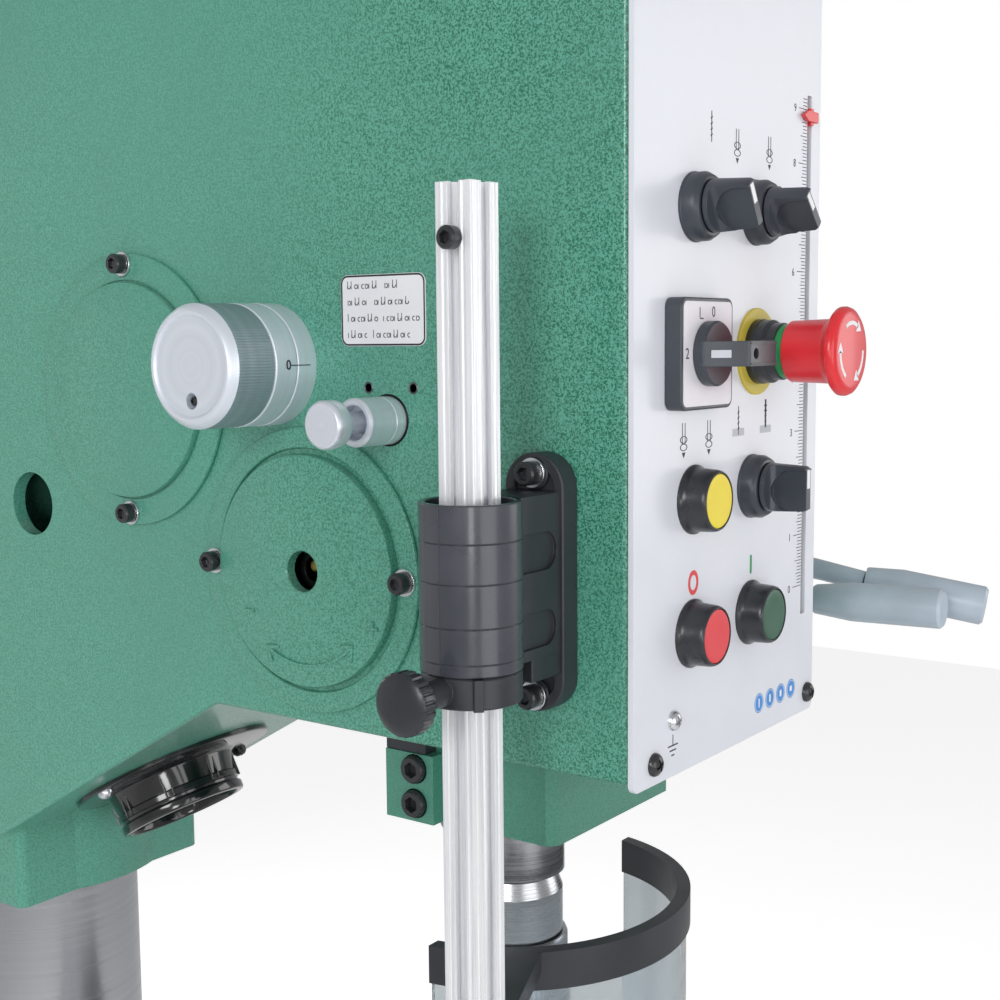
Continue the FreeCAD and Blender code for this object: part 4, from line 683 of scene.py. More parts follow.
ahead = Vector((math.cos(CAMERA_YAW) * math.cos(CAMERA_DOWN), math.sin(CAMERA_YAW) * math.cos(CAMERA_DOWN),
                -math.sin(CAMERA_DOWN)))
level_right = Vector((math.sin(CAMERA_YAW), -math.cos(CAMERA_YAW), 0))
level_up = level_right.cross(ahead)
camera_right = math.cos(CAMERA_ROLL) * level_right + math.sin(CAMERA_ROLL) * level_up
camera_up = camera_right.cross(ahead)

camera_data = bpy.data.cameras.new("camera")
camera_data.lens = 52.15
camera_data.sensor_width = 36.0
camera_data.clip_start = 0.02
camera = bpy.data.objects.new("camera", camera_data)
camera.matrix_world = (Matrix.Translation(CAMERA_AT)
                       @ Matrix((camera_right, camera_up, -ahead)).transposed().to_4x4())
bpy.context.scene.collection.objects.link(camera)
bpy.context.scene.camera = camera
print("camera at", [round(v, 3) for v in camera.matrix_world.translation])

# %% Lights, world and floor
bpy.context.scene.view_settings.view_transform = "Standard"


def soft_light(name, place, width, power):
    """A square soft light that looks at the head."""
    data = bpy.data.lights.new(name, "AREA")
    data.shape = "SQUARE"
    data.size = width
    data.energy = power
    lamp = bpy.data.objects.new(name, data)
    turn = (HEAD_CENTRE - Vector(place)).to_track_quat("-Z", "Y").to_matrix().to_4x4()
    lamp.matrix_world = Matrix.Translation(place) @ turn
    bpy.context.scene.collection.objects.link(lamp)


HEAD_CENTRE = Vector((0, 0, 1.5))
soft_light("front_light", (-0.7, -2.6, 1.45), 1.7, 20)
soft_light("left_light", (-2.7, -0.7, 2.1), 0.9, 23)
soft_light("right_light", (2.2, -1.6, 1.7), 1.2, 10)
soft_light("rear_left_light", (-1.9, 2.7, 1.25), 2.0, 2.5)
soft_light("near_light", (-2.2, -1.75, 1.3), 0.5, 8)
soft_light("back_light", (0.8, 2.8, 2.4), 1.8, 26)

WHITE = (1.0, 1.0, 1.0, 1)
WORLD_GLOW = 0.42
world = bpy.data.worlds.new("pale_studio")
world.use_nodes = True
sky = world.node_tree
glow = sky.nodes["Background"]
glow.inputs["Color"].default_value = WHITE
glow.inputs["Strength"].default_value = WORLD_GLOW
white_wall = add(sky, "ShaderNodeBackground", {"Color": WHITE, "Strength": 1.0})
camera_ray = add(sky, "ShaderNodeLightPath").outputs["Is Camera Ray"]
choose = add(sky, "ShaderNodeMixShader", {"Fac": camera_ray, 1: glow.outputs[0], 2: white_wall.outputs[0]})
link(sky, choose.outputs[0], sky.nodes["World Output"].inputs["Surface"])
bpy.context.scene.world = world

FLOOR_SIDE = 12000.0
floor_bm = bmesh.new()
bmesh.ops.create_grid(floor_bm, x_segments=1, y_segments=1, size=FLOOR_SIDE / 2)
bmesh.ops.scale(floor_bm, vec=(MM, MM, MM), verts=floor_bm.verts)
floor_mesh = bpy.data.meshes.new("floor")
floor_bm.to_mesh(floor_mesh)
floor_bm.free()
floor = bpy.data.objects.new("floor", floor_mesh)
floor.location.z = cad_box[0][2] - 0.0005
bpy.context.scene.collection.objects.link(floor)
floor_pale, tree, shader, where = start("floor_pale", Roughness=0.8, Emission_Color=WHITE)
floor_mesh.materials.append(floor_pale)
speckle = noise(tree, where["Object"], 40.0, 4.0)
link(tree, blend_colours(tree, speckle, (0.90, 0.90, 0.90, 1), (0.95, 0.95, 0.95, 1)), shader["Base Color"])
FLOOR_GLOW = 0.5
camera_ray = add(tree, "ShaderNodeLightPath").outputs["Is Camera Ray"]
link(tree, product(tree, camera_ray, FLOOR_GLOW), shader["Emission Strength"])
print("floor at", round(floor.location.z, 4))

# %% [markdown]
# ## Covers on the left side
# Two round steel covers close the gearbox and the return spring. Each is one turning: a thin flange with a
# soft rim, then a raised disc. The spring cover has a groove between the two and a hole over the shaft end.
# Its embossed arrow shows which way winds the spring: a curved band with two heads, and a mark at each end.

# %% Round covers
COVER_FLANGE = 2.6
COVER_RISE = 5.8


def cover_seat(node):
    centre = middle(node)
    return on_side(centre.y, centre.z)


def flange_outline(radius):
    """The edge of a cover's flange, from its underside up to its face."""
    return [(radius - 0.8, 0), (radius - 0.8, 0.5), (radius, 0.9), (radius, 1.7), (radius - 0.3, 2.3),
            (radius - 0.9, COVER_FLANGE)]


DISC_R = 55.4
DISC_EDGE = [(DISC_R, 4.8), (DISC_R - 0.3, 5.5), (DISC_R - 1.0, COVER_RISE)]

gear_cover_r = half_height("upper_cover")
step_down = [(DISC_R + 1.1, COVER_FLANGE), (DISC_R + 0.8, 1.6), (DISC_R + 0.1, 1.6), (DISC_R, 2.9)]
gear_cover = turned([(0, 0), *flange_outline(gear_cover_r), *step_down, *DISC_EDGE, (0, COVER_RISE)], 128)
piece("gear_cover", gear_cover, "root", green_paint, cover_seat("upper_cover"),
      ["upper_cover"])

spring_cover_r = half_height("spring_cover")
SHAFT_HOLE_R = 9.7
groove = [(58.6, COVER_FLANGE), (58.2, 2.2), (58.0, 0.3), (DISC_R, 0.3)]
spring_guard = turned([(SHAFT_HOLE_R, 0), *flange_outline(spring_cover_r), *groove, *DISC_EDGE,
                       (SHAFT_HOLE_R + 0.7, COVER_RISE), (SHAFT_HOLE_R, 5.1)], 128, closed=True)
piece("spring_guard", spring_guard, "root", green_paint, cover_seat("spring_cover"),
      ["spring_cover"])

ARROW_R = 45.0
ARROW_RISE = 0.9
chevron = [(0.6, 0), (-6.2, 5.2), (-7.6, 4.0), (-2.2, 0), (-7.6, -4.0), (-6.2, -5.2)]
WIND_TIPS = (238, 315)
emboss = [band(ARROW_R - 0.8, ARROW_R + 0.8, WIND_TIPS[0] + 3, WIND_TIPS[1] - 3, ARROW_RISE)]
for angle, side in zip(WIND_TIPS, (-1, 1)):
    tip = math.radians(angle)
    emboss.append(shifted(prism(chevron, ARROW_RISE), ARROW_R * math.cos(tip), ARROW_R * math.sin(tip),
                          turn=angle + side * 90))
emboss.append(shifted(plate(6.5, 1.5, ARROW_RISE), -35.0, -22.0))
emboss.append(shifted(plate(6.5, 1.5, ARROW_RISE), 44.0, -22.6))
emboss += [shifted(plate(1.5, 2.4, ARROW_RISE), 44.0, -22.6 + side * 2.0) for side in (-1, 1)]
piece("wind_arrow", together(*emboss), "root", green_paint,
      cover_seat("spring_cover") @ along_z(COVER_RISE - 0.05), edge=0.2)
# The shaft takes the dark oily steel, so the hole over its end shows painted shade.
refined("pinion_shaft", "feed_handle", oily_steel_and_shade, 0.3, shortest=3.0)
end_plug = turned([(0, -9), (3.0, -9), (3.0, -0.8), (2.2, -0.2), (0, -0.1)], 32)
piece("shaft_end_plug", end_plug, "feed_handle", brass,
      cover_seat("spring_cover") @ Matrix.Translation((-1.6, 1.2, -4.6)))
print("covers:", round(gear_cover_r, 1), round(spring_cover_r, 1))

# %% [markdown]
# ## Screws
# A socket screw is a turned head with a hexagonal hole, and its washer is a thin disc. The heads are
# blackened, and in most of them the hole shows grey steel. They are made by one function and placed by
# their seats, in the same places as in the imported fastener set, which they replace.

# %% Socket screws and washers
def hexagon(flats, depth, top):
    bm = bmesh.new()
    radius = flats / math.sqrt(3)
    bmesh.ops.create_cone(bm, cap_ends=True, segments=6, radius1=radius, radius2=radius, depth=depth + 1,
                          matrix=along_z(top - depth + (depth + 1) / 2))
    return bm


def socket_screw(size, washer_r=0.0, turn=10.0):
    """A socket head screw and its washer. Its finishes are: black head, bright washer, grey hole."""
    head_r, washer_t = size * 0.83, 1.6 if washer_r else 0.0
    top = washer_t + size
    head = turned([(0, washer_t), (head_r - 0.3, washer_t), (head_r, washer_t + 0.3), (head_r, top - 0.9),
                   (head_r - 0.8, top), (0, top)], 48)
    hole = shifted(hexagon(size * 0.86, size * 0.55, top), turn=turn)
    head = carved(head, hole)
    for face in head.faces:
        centre = face.calc_center_median()
        inside = math.hypot(centre.x, centre.y) < size * 0.51 and centre.z < top - 0.05
        face.material_index = 2 if inside and centre.z > washer_t + 0.1 else 0
    if not washer_r:
        return head
    ring = turned([(0, 0), (washer_r - 0.2, 0), (washer_r, 0.2), (washer_r, washer_t - 0.2),
                   (washer_r - 0.2, washer_t), (0, washer_t)], 48)
    return together(head, finish_with(ring, 1))


SCREW_FINISH = [black_oxide, bright_zinc, dark_steel]
ALL_BLACK = [black_oxide] * 3
gear_at, spring_at = middle("upper_cover"), middle("spring_cover")
cover_screw_seats = {
    "gear_cover_screw_upper": on_side(gear_at.y, gear_at.z + 64.5, COVER_FLANGE),
    "gear_cover_screw_lower": on_side(gear_at.y, gear_at.z - 63.5, COVER_FLANGE),
    "spring_cover_screw_rear": on_side(spring_at.y + 61, spring_at.z, COVER_FLANGE),
    "spring_cover_screw_front": on_side(spring_at.y - 61, spring_at.z, COVER_FLANGE),
}
for number, (name, place) in enumerate(cover_screw_seats.items()):
    piece(name, socket_screw(6, 6.3, 14 * number), "root", SCREW_FINISH, place,
          ["fasteners"] if number == 0 else ())

BRACKET_FACE = 11.0
bracket_y = middle("guard_bracket").y
BRACKET_SCREW_Z = {"upper": low("guard_bracket").z + 99.7, "lower": low("guard_bracket").z + 6.8}
for name, z in BRACKET_SCREW_Z.items():
    piece(f"bracket_screw_{name}", socket_screw(6, 6.3, 25), "root", SCREW_FINISH,
          on_side(bracket_y, z, BRACKET_FACE))

CLAMP_SCREW_Z = {"upper": high("quill_clamp").z - 21, "lower": low("quill_clamp").z + 10}
for name, z in CLAMP_SCREW_Z.items():
    piece(f"clamp_screw_{name}", socket_screw(8, 0, 5), "root", ALL_BLACK,
          seat((low("quill_clamp").x + 4.5, 13, z), LEFT))


def screw_circle(name, centre, radius, z, size, twist):
    """Four upright screws round a centre, each with its hole turned further by twist degrees."""
    for quarter in range(4):
        turn = math.radians(45 + 90 * quarter)
        at = (centre.x + radius * math.cos(turn), centre.y + radius * math.sin(turn), z)
        piece(f"{name}_{quarter}", socket_screw(size, 0, twist * quarter), "root", SCREW_FINISH,
              seat(at, UP, BACK))


screw_circle("foot_screw", middle("column"), 98.0, high("base").z + 22.5, 14, 20)
print("screw seats:", len(cover_screw_seats) + 8)

# %% [markdown]
# ## Feed dial
# A round knob picks the feed. Its rim is straight knurled: fine ribs pressed in with a wheel. Here the rim
# is spun in many steps, and half of them are pushed in by a fraction of a millimetre. The face is dished,
# with a bright lip and a hole for the set screw. A nought and an index line are marked on the barrel.

# %% Dial and its ring
dial_at = middle("dial_ring")
DIAL_R = half_height("dial_ring")
RING_T = high("dial_ring").x - low("dial_ring").x
dial_seat = on_side(dial_at.y, dial_at.z)
piece("dial_fixed_ring", turned([(0, 0), (DIAL_R, 0), (DIAL_R, RING_T - 0.5), (DIAL_R - 0.5, RING_T),
                                 (DIAL_R - 3.0, RING_T), (0, RING_T)], 128),
      "root", dial_satin, dial_seat, ["dial_ring"])

KNURLS = 130
knob_start = RING_T + 0.3
knob = turned([(0, 0), (28.2, 0), (28.6, 0.4), (28.6, 13.0), (28.1, 13.4), (28.1, 13.9), (28.4, 14.2),
               (28.4, 36.0), (27.9, 36.5), (26.9, 38.4), (24.9, 40.0), (23.5, 40.0), (22.6, 39.2),
               (22.5, 38.8), (0, 38.8)], KNURLS * 4)
knob = ribbed(knob, KNURLS, 0.18, lambda radius, height: 14.15 < height < 36.1 and radius > 28.2)
# The knurled band takes the darker silver: painted shade of its ribs.
for face in knob.faces:
    centre = face.calc_center_median()
    face.material_index = 1 if 14.2 < centre.z < 36.0 and math.hypot(centre.x, centre.y) > 27 else 0
screw_hole = shifted(rod(3.7, 8, 40), 0, -15.5, 33)
piece("dial_knob", carved(knob, screw_hole), "feed_dial", [dial_satin, knurl_shaded_silver],
      dial_seat @ along_z(knob_start), ["feed_dial"])
piece("dial_set_screw", socket_screw(2.6, 0, 12), "feed_dial", ALL_BLACK,
      dial_seat @ Matrix.Translation((0, -15.5, knob_start + 35.6)))


# %% Index line and nought
def words(text, size, thickness):
    """Text as a thin raised mesh, centred on its seat."""
    curve = bpy.data.curves.new("text", "FONT")
    curve.body = text
    curve.size = size
    curve.align_x = "CENTER"
    curve.align_y = "CENTER"
    curve.extrude = thickness / 2
    curve.resolution_u = 3
    shown = bpy.data.objects.new("text", curve)
    bpy.context.scene.collection.objects.link(shown)
    mesh = bpy.data.meshes.new_from_object(shown.evaluated_get(bpy.context.evaluated_depsgraph_get()))
    bm = bmesh.new()
    bm.from_mesh(mesh)
    bpy.data.objects.remove(shown)
    bpy.data.meshes.remove(mesh)
    bmesh.ops.remove_doubles(bm, verts=bm.verts, dist=0.0005)
    bmesh.ops.translate(bm, vec=(0, 0, thickness / 2), verts=bm.verts)
    return bm


dial_front = seat((dial_at.x, dial_at.y, dial_at.z), FRONT) @ along_z(DIAL_R)
KNOB_MARK_X = low("dial_ring").x - dial_at.x - 4.0
piece("dial_nought", shifted(words("0", 6.5, 0.4), KNOB_MARK_X - 2.2, 0, -0.3), "feed_dial", ink_black,
      dial_front)
piece("dial_nought_line", shifted(plate(4.2, 0.45, 0.4), KNOB_MARK_X + 1.7, 0, -0.3), "feed_dial", ink_black,
      dial_front)
piece("dial_index_line", shifted(plate(8.0, 0.45, 0.3), -2.0, 0, -0.2), "root", ink_black,
      dial_front)
print("knurl ribs:", KNURLS)

# %% [markdown]
# ## Drift plunger
# Pushing this plunger in frees a tool from the spindle's taper. A sleeve with a counterbored mouth guides
# it, and the plunger ends in a flat mushroom with soft edges. Both are plain turnings with several steps,
# so each step catches its own line of light.

# %% Sleeve and plunger
drift_at = middle("drift_sleeve")
drift_seat = on_side(drift_at.y, drift_at.z)
# A thin dark ring round the foot of the sleeve: painted shadow where the sleeve enters the head.
piece("drift_shadow_ring", turned([(10.8, 0), (11.8, 0), (11.7, 0.3), (10.8, 0.4)], 64, closed=True), "root",
      oily_steel_and_shade, drift_seat)
piece("drift_guide", turned([(5.2, 0), (10.8, 0), (10.8, 6.4),
                             (10.5, 6.7), (10.5, 7.2), (10.8, 7.5), (10.8, 22.8), (9.8, 24.0), (8.2, 24.0),
                             (7.6, 23.5), (7.6, 18.0), (5.2, 18.0)], 96, closed=True),
      "root", drift_satin, drift_seat, ["drift_sleeve"])
piece("drift_plunger", turned([(0, -26), (5, -26), (5, 33), (5.6, 34), (7, 34.5), (9.6, 35.1), (10.4, 36.0),
                               (10.6, 37.2), (10.6, 42.3), (10.0, 43.5), (9.2, 44.0), (8.0, 43.8),
                               (0, 43.6)], 96),
      "drift_knob", drift_satin, drift_seat, ["drift_knob"])
print("drift plunger reaches", round(-high("drift_knob").x, 1))

# %% [markdown]
# ## Instruction plate
# A thin white plate names the automatic drift. A real one carries words; this one carries only
# rows of small bowls and strokes in their place. They are thin raised marks in grey ink.

# %% Plate and its marks
plate_at = middle("instruction_plate")
plate_w = high("instruction_plate").y - low("instruction_plate").y
plate_h = high("instruction_plate").z - low("instruction_plate").z
label_seat = on_side(plate_at.y, plate_at.z)
piece("instruction_label", plate(plate_w, plate_h, 0.6, 4.0), "root", label_white, label_seat,
      ["instruction_plate"], edge=0.15)
ROW_WORDS = [(19, 9), (13, 20), (18, 21), (12, 22)]
ROW_PITCH = 7.3
LETTER_H = 3.5
marks = []
for row, lengths in enumerate(ROW_WORDS):
    x = -plate_w / 2 + 4.0
    for length in lengths:
        letters = int(length / 1.95)
        for letter in range(letters):
            at_x = x + (letter + 0.5) * length / letters
            at_y = 11.0 - row * ROW_PITCH
            shape = (letter * 5 + row * 3 + length) % 7
            if shape % 3:
                opening = 0 if shape == 1 else 70
                bowl = band(0.68, 1.12, opening, 360 - opening, 0.1, 10)
                marks.append(shifted(bowl, at_x, at_y - 0.3, 0.56, turn=90 * shape))
            if shape not in (1, 4):
                tall = LETTER_H if shape % 2 else LETTER_H * 0.62
                marks.append(shifted(plate(0.38, tall, 0.1), at_x - 0.75, at_y + tall / 2 - 1.34, 0.56))
        x += length + 3.0
piece("instruction_marks", together(*marks), "root", ink_soft, label_seat)
border = carved(plate(plate_w - 0.5, plate_h - 0.5, 0.1, 3.8),
                shifted(plate(plate_w - 2.1, plate_h - 2.1, 1, 3.0), z=-0.4))
piece("instruction_border", shifted(border, z=0.56), "root", ink_black, label_seat)

print("label", round(plate_w, 1), "by", round(plate_h, 1))

# %% Tapped holes below the plate
TAPPED_HOLES = ((15.9, 164.9), (-10.2, 164.9))
for number, (y, above) in enumerate(TAPPED_HOLES):
    hole_seat = on_side(y, PANEL.z + above)
    rim = turned([(1.9, 0), (2.7, 0), (2.7, 0.05), (2.2, 0.25), (1.9, 0.1)], 32, closed=True)
    # The dark lining with a floor is bare thread in part, and painted shade deep in the hole.
    lining = turned([(0, -6), (2.3, -6), (2.3, 0.04), (1.8, 0.04), (1.6, -5), (0, -5)], 32)
    piece(f"tapped_hole_rim_{number}", rim, "root", dark_steel, hole_seat)
    piece(f"tapped_hole_thread_and_shade_{number}", lining, "root", oily_steel_and_shade, hole_seat)
print("tapped holes:", len(TAPPED_HOLES))

# %% [markdown]
# ## Guard bracket
# The chip guard hangs on a square bar that slides in a moulded bracket. The bracket is three shapes in one:
# a flange with round ends, an arm, and a thin tube. Shallow grooves from the mould are part of the tube's
# outline. The seam of the mould and two pockets with a round end in the arm are cut with Booleans.

# %% Bracket
guard_low, guard_high = low("guard_bracket"), high("guard_bracket")
TUBE_R = (guard_high.y - guard_low.y) / 2
TUBE_BORE_R = TUBE_R - 2.8
tube_x, tube_y = guard_low.x + TUBE_R, (guard_low.y + guard_high.y) / 2
TUBE_LOW = guard_low.z + 26.7
TUBE_HIGH = guard_low.z + 92.5
TUBE_LENGTH = TUBE_HIGH - TUBE_LOW
tube_seat = Matrix.Translation((tube_x, tube_y, TUBE_LOW))
GROOVES = (0.075, 0.285, 0.54, 0.775)


def tube_profile():
    """Outside of the tube with its mould grooves, then back down its bore."""
    outline = [(TUBE_BORE_R, 0.4), (TUBE_BORE_R + 0.4, 0), (TUBE_R - 0.5, 0), (TUBE_R, 0.5)]
    for share in GROOVES:
        at = share * TUBE_LENGTH
        outline += [(TUBE_R, at - 0.35), (TUBE_R - 0.45, at), (TUBE_R, at + 0.35)]
    return outline + [(TUBE_R, TUBE_LENGTH - 0.5), (TUBE_R - 0.5, TUBE_LENGTH),
                      (TUBE_BORE_R + 0.5, TUBE_LENGTH), (TUBE_BORE_R, TUBE_LENGTH - 0.5)]


SEAM_ANGLE = 181.0
tube = put(turned(tube_profile(), 112, closed=True), tube_seat)
seam = put(shifted(plate(0.5, 0.7, TUBE_LENGTH + 2), TUBE_R, 0, -1),
           tube_seat @ about("Z", SEAM_ANGLE))
piece("guard_tube", carved(tube, seam), "root", tube_black, stands_for=["guard_bracket"])

ARM_HALF = 13.0
arm_seat = seat(((tube_x - 87.8) / 2 - 2, tube_y - ARM_HALF, TUBE_LOW + TUBE_LENGTH / 2), FRONT)
arm_length = -87.8 - tube_x - 5


def pocket(height, at):
    """A recess in the arm's front with a round right end."""
    half = height / 2
    outline = [(-60, -half), *arc(8, 0, half, -90, 90, 16), (-60, half)]
    shape = prism(outline, 4.0)
    return put(shape, arm_seat @ Matrix.Translation((0, at, -1.6)))


def arm_block():
    block = put(plate(arm_length, TUBE_LENGTH, 2 * ARM_HALF), arm_seat @ along_z(-2 * ARM_HALF))
    bore = put(rod(TUBE_BORE_R + 1.4, TUBE_LENGTH + 4, 96), tube_seat @ along_z(-2))
    notch = put(shifted(plate(1.6, 9, 14), -arm_length / 2 + 13, -TUBE_LENGTH / 2, -13.9), arm_seat)
    return carved(block, bore, pocket(15.5, TUBE_LENGTH * 0.155), pocket(14.8, -TUBE_LENGTH * 0.32), notch)


piece("guard_arm_block", arm_block(), "root", black_satin, edge=0.6)
ARM_FOOT = (tube_x + 23.0, -88.0)
piece("guard_arm_foot", plate(ARM_FOOT[1] - ARM_FOOT[0], 10.0, 2 * ARM_HALF - 0.4), "root", black_satin,
      seat((sum(ARM_FOOT) / 2, tube_y - ARM_HALF + 0.2, TUBE_LOW - 4.5), FRONT)
      @ along_z(0.4 - 2 * ARM_HALF), edge=0.8)

FLANGE_W = 29.0
FLANGE_H = guard_high.z - guard_low.z
flange_seat = on_side(tube_y, (guard_low.z + guard_high.z) / 2)
flange = plate(FLANGE_W, FLANGE_H, BRACKET_FACE, FLANGE_W / 2 - 0.2)
recess_outline = [(-9.5, 0), (9.5, 0), *arc(0, 1.0, 9.5, 0, 180, 16)]
recesses = []
for side in (-1, 1):
    recess = prism(recess_outline, 4.0)
    recess = shifted(put(recess, Matrix.Scale(side, 4, (0, 1, 0))), 0, side * 38.5, BRACKET_FACE - 2.2)
    bmesh.ops.recalc_face_normals(recess, faces=recess.faces)
    recesses.append(recess)
piece("guard_flange", carved(flange, *recesses), "root", black_satin, flange_seat, edge=0.9)
for name, z in BRACKET_SCREW_Z.items():
    boss = turned([(0, BRACKET_FACE - 3), (6.9, BRACKET_FACE - 3), (6.9, BRACKET_FACE - 0.4),
                   (6.5, BRACKET_FACE), (0, BRACKET_FACE)], 48)
    piece(f"flange_boss_{name}", boss, "root", black_satin, on_side(tube_y, z))
print("tube radius", round(TUBE_R, 2), " arm length", round(arm_length, 1))

# %% [markdown]
# ## Guard collar, knob and bar
# The collar turns in the tube and carries the clamp knob, whose rim has finger ribs. The bar is an aluminium
# extrusion: the same section all along, with a slot in each face. Its section is a short outline that is
# turned four times, then extruded.

# %% Collar and knob
collar_low = low("guard_collar").z
COLLAR_H = 12.2
BAR_SIDE = 17.5
collar = turned([(TUBE_BORE_R - 4, 0), (TUBE_R - 0.9, 0), (TUBE_R - 0.3, 0.6), (TUBE_R - 0.3, COLLAR_H - 0.8),
                 (TUBE_R - 0.9, COLLAR_H), (TUBE_BORE_R - 0.1, COLLAR_H), (TUBE_BORE_R - 0.1, 62),
                 (TUBE_BORE_R - 4, 62)], 112, closed=True)
RIB_ANGLE = 224.0
collar_rib = put(shifted(plate(7.0, 4.0, COLLAR_H, 0.8), 18.5), about("Z", RIB_ANGLE))
collar_boss = put(turned([(0, 10), (5.5, 10), (5.5, 29), (5.0, 30), (0, 30)], 48),
                  along_z(COLLAR_H / 2 + 0.4) @ about("Y", -90))
piece("collar_ring", together(collar, collar_rib, collar_boss), "guard_collar", black_satin,
      Matrix.Translation((tube_x, tube_y, collar_low)), ["guard_collar"])

KNOB_R = half_height("guard_knob")
knob_seat = seat((low("guard_knob").x + 8.5, tube_y, middle("guard_knob").z), LEFT)
FINGER_RIBS = 22
knob_body = turned([(0, 0), (KNOB_R - 0.9, 0), (KNOB_R - 0.2, 0.3), (KNOB_R, 0.7), (KNOB_R, 6.0),
                    (KNOB_R - 0.4, 6.5), (KNOB_R - 1.4, 7.2), (KNOB_R - 3.2, 7.8), (KNOB_R * 0.55, 8.3),
                    (KNOB_R * 0.25, 8.5), (0, 8.5)], FINGER_RIBS * 6)
knob_body = ribbed(knob_body, FINGER_RIBS, 0.8,
                   lambda radius, height: 0.2 < height < 6.2 and radius > KNOB_R - 0.5, valley=0.34)
knob_screw = put(rod(3.0, 26.0), along_z(-26.0))
piece("clamp_knob", together(knob_body, knob_screw), "guard_knob", black_smooth, knob_seat,
      ["guard_knob"])


# %% Bar with slots in its faces
def bar_section():
    """A quarter of the section, from the middle of one face to the middle of the next, turned four times."""
    half = BAR_SIDE / 2
    quarter = [(half, -half + 0.5), (half, -5.6), (half - 0.5, -5.2), (half - 0.5, -4.2), (half, -3.8),
               (half, -2.6), (half - 2.2, -2.6), (half - 2.2, -4.6), (half - 5.2, -1.8), (half - 5.2, 1.8),
               (half - 2.2, 4.6), (half - 2.2, 2.6), (half, 2.6), (half, 3.8), (half - 0.5, 4.2),
               (half - 0.5, 5.2), (half, 5.6), (half, half - 0.5), (half - 0.5, half)]
    outline = []
    for turn in range(4):
        cosine, sine = round(math.cos(turn * math.pi / 2)), round(math.sin(turn * math.pi / 2))
        outline += [(x * cosine - y * sine, x * sine + y * cosine) for x, y in quarter]
    return outline


bar_low, bar_high = low("guard_bar").z, high("guard_bar").z
piece("slotted_bar", prism(bar_section(), bar_high - bar_low), "guard_bar", extruded,
      Matrix.Translation((tube_x, tube_y, bar_low)), ["guard_bar"], edge=0.12)
stop_seat = seat((tube_x - BAR_SIDE / 2, tube_y, bar_high - 21), LEFT)
piece("bar_stop_screw", socket_screw(5.4, 0, 8), "guard_bar", ALL_BLACK,
      stop_seat)
print("bar from", round(bar_low), "to", round(bar_high))

# %% [markdown]
# ## Control panel
# The panel is a thin steel plate, painted white, with round holes and the slot of the depth scale. The
# packed plate is right, so it only gets softer edges. Its marks are printed on: here each is a thin raised
# shape in its own ink, because a shape stays sharp from near by. The depth scale is in inches: sixteen ticks
# to the inch, longer at the quarter, the half and the whole, with a number at each whole inch.

# %% Panel plate
refined("control_panel", "root", panel_white, 0.5, shortest=2.0)
INK = 0.08

# %% Depth scale
INCH = 25.4
SCALE_X = 160.2
SCALE_ZERO = 64.6
SCALE_TOP = 298.0
ticks = []
step = 0
while SCALE_ZERO + step * INCH / 16 < SCALE_TOP:
    length = 9.0 if step % 16 == 0 else 7.0 if step % 8 == 0 else 5.6 if step % 4 == 0 else 4.4
    ticks.append(shifted(plate(length, 0.34, INK), SCALE_X - length / 2, SCALE_ZERO + step * INCH / 16))
    step += 1
for inch in range(int((SCALE_TOP - SCALE_ZERO) / INCH) + 1):
    ticks.append(shifted(words(str(inch), 5.2, INK), SCALE_X - 13.2, SCALE_ZERO + inch * INCH - 0.6))
piece("depth_scale", together(*ticks), "root", ink_black, on_panel(0, 0))
# A black plate behind the slot: painted shade inside the head.
backing = plate(15.0, 262.0, 1.0)
piece("slot_backing", backing, "root", slot_shade_black,
      seat((PANEL.x + 163.0, high("control_panel").y + 12.5, PANEL.z + 175.0), FRONT), edge=0.3)
print("scale ticks:", step)

# %% Signs beside the buttons
ring_mark = turned([(3.0, 0), (4.9, 0), (4.9, INK), (3.0, INK)], 48, closed=True)
bmesh.ops.scale(ring_mark, vec=(0.92, 1.1, 1), verts=ring_mark.verts)
piece("off_mark", ring_mark, "root", ink_red, on_panel(50.2, 81.3))
piece("on_mark", plate(1.9, 8.8, INK, 0.8), "root", ink_green, on_panel(105.4, 82.1))

DISC_MARK_R = 4.7
discs, signs = [], []
for number in range(4):
    x, z = 115.6 + 11.7 * number, 14.5
    discs.append(shifted(turned([(0, 0), (DISC_MARK_R, 0), (DISC_MARK_R, INK), (0, INK)], 40), x, z))
    circle = turned([(3.9, 0), (4.2, 0), (4.2, 1.6 * INK), (3.9, 1.6 * INK)], 40, closed=True)
    signs.append(shifted(circle, x, z))
    signs.append(shifted(plate(1.0 + number * 0.5, 4.4 - number * 0.6, 1.6 * INK, 0.45), x, z))
piece("disc_marks", together(*discs), "root", ink_blue, on_panel(0, 0))
piece("disc_signs", together(*signs), "root", ink_white, on_panel(0, 0))

earth = [shifted(plate(0.55, 4.6, INK), 33, 15.9)]
for number, width in enumerate((8.6, 5.6, 2.6)):
    earth.append(shifted(plate(width, 0.6, INK), 33, 13.5 - 2.1 * number))
piece("earth_mark", together(*earth), "root", ink_black, on_panel(0, 0))


# %% Tool signs over the selectors
def drill_sign(x, z, solid):
    """A small drill over a hatched block of work."""
    parts = [shifted(plate(1.5 if solid else 0.6, 13, INK, 0.25), x, z + 2)]
    for number in range(4):
        tilt = 0.0 if solid else 28.0
        width = 2.8 if solid and number > 1 else 1.9
        parts.append(shifted(plate(width, 0.55, INK), x, z - 1.5 + 2.4 * number, turn=tilt))
    return parts


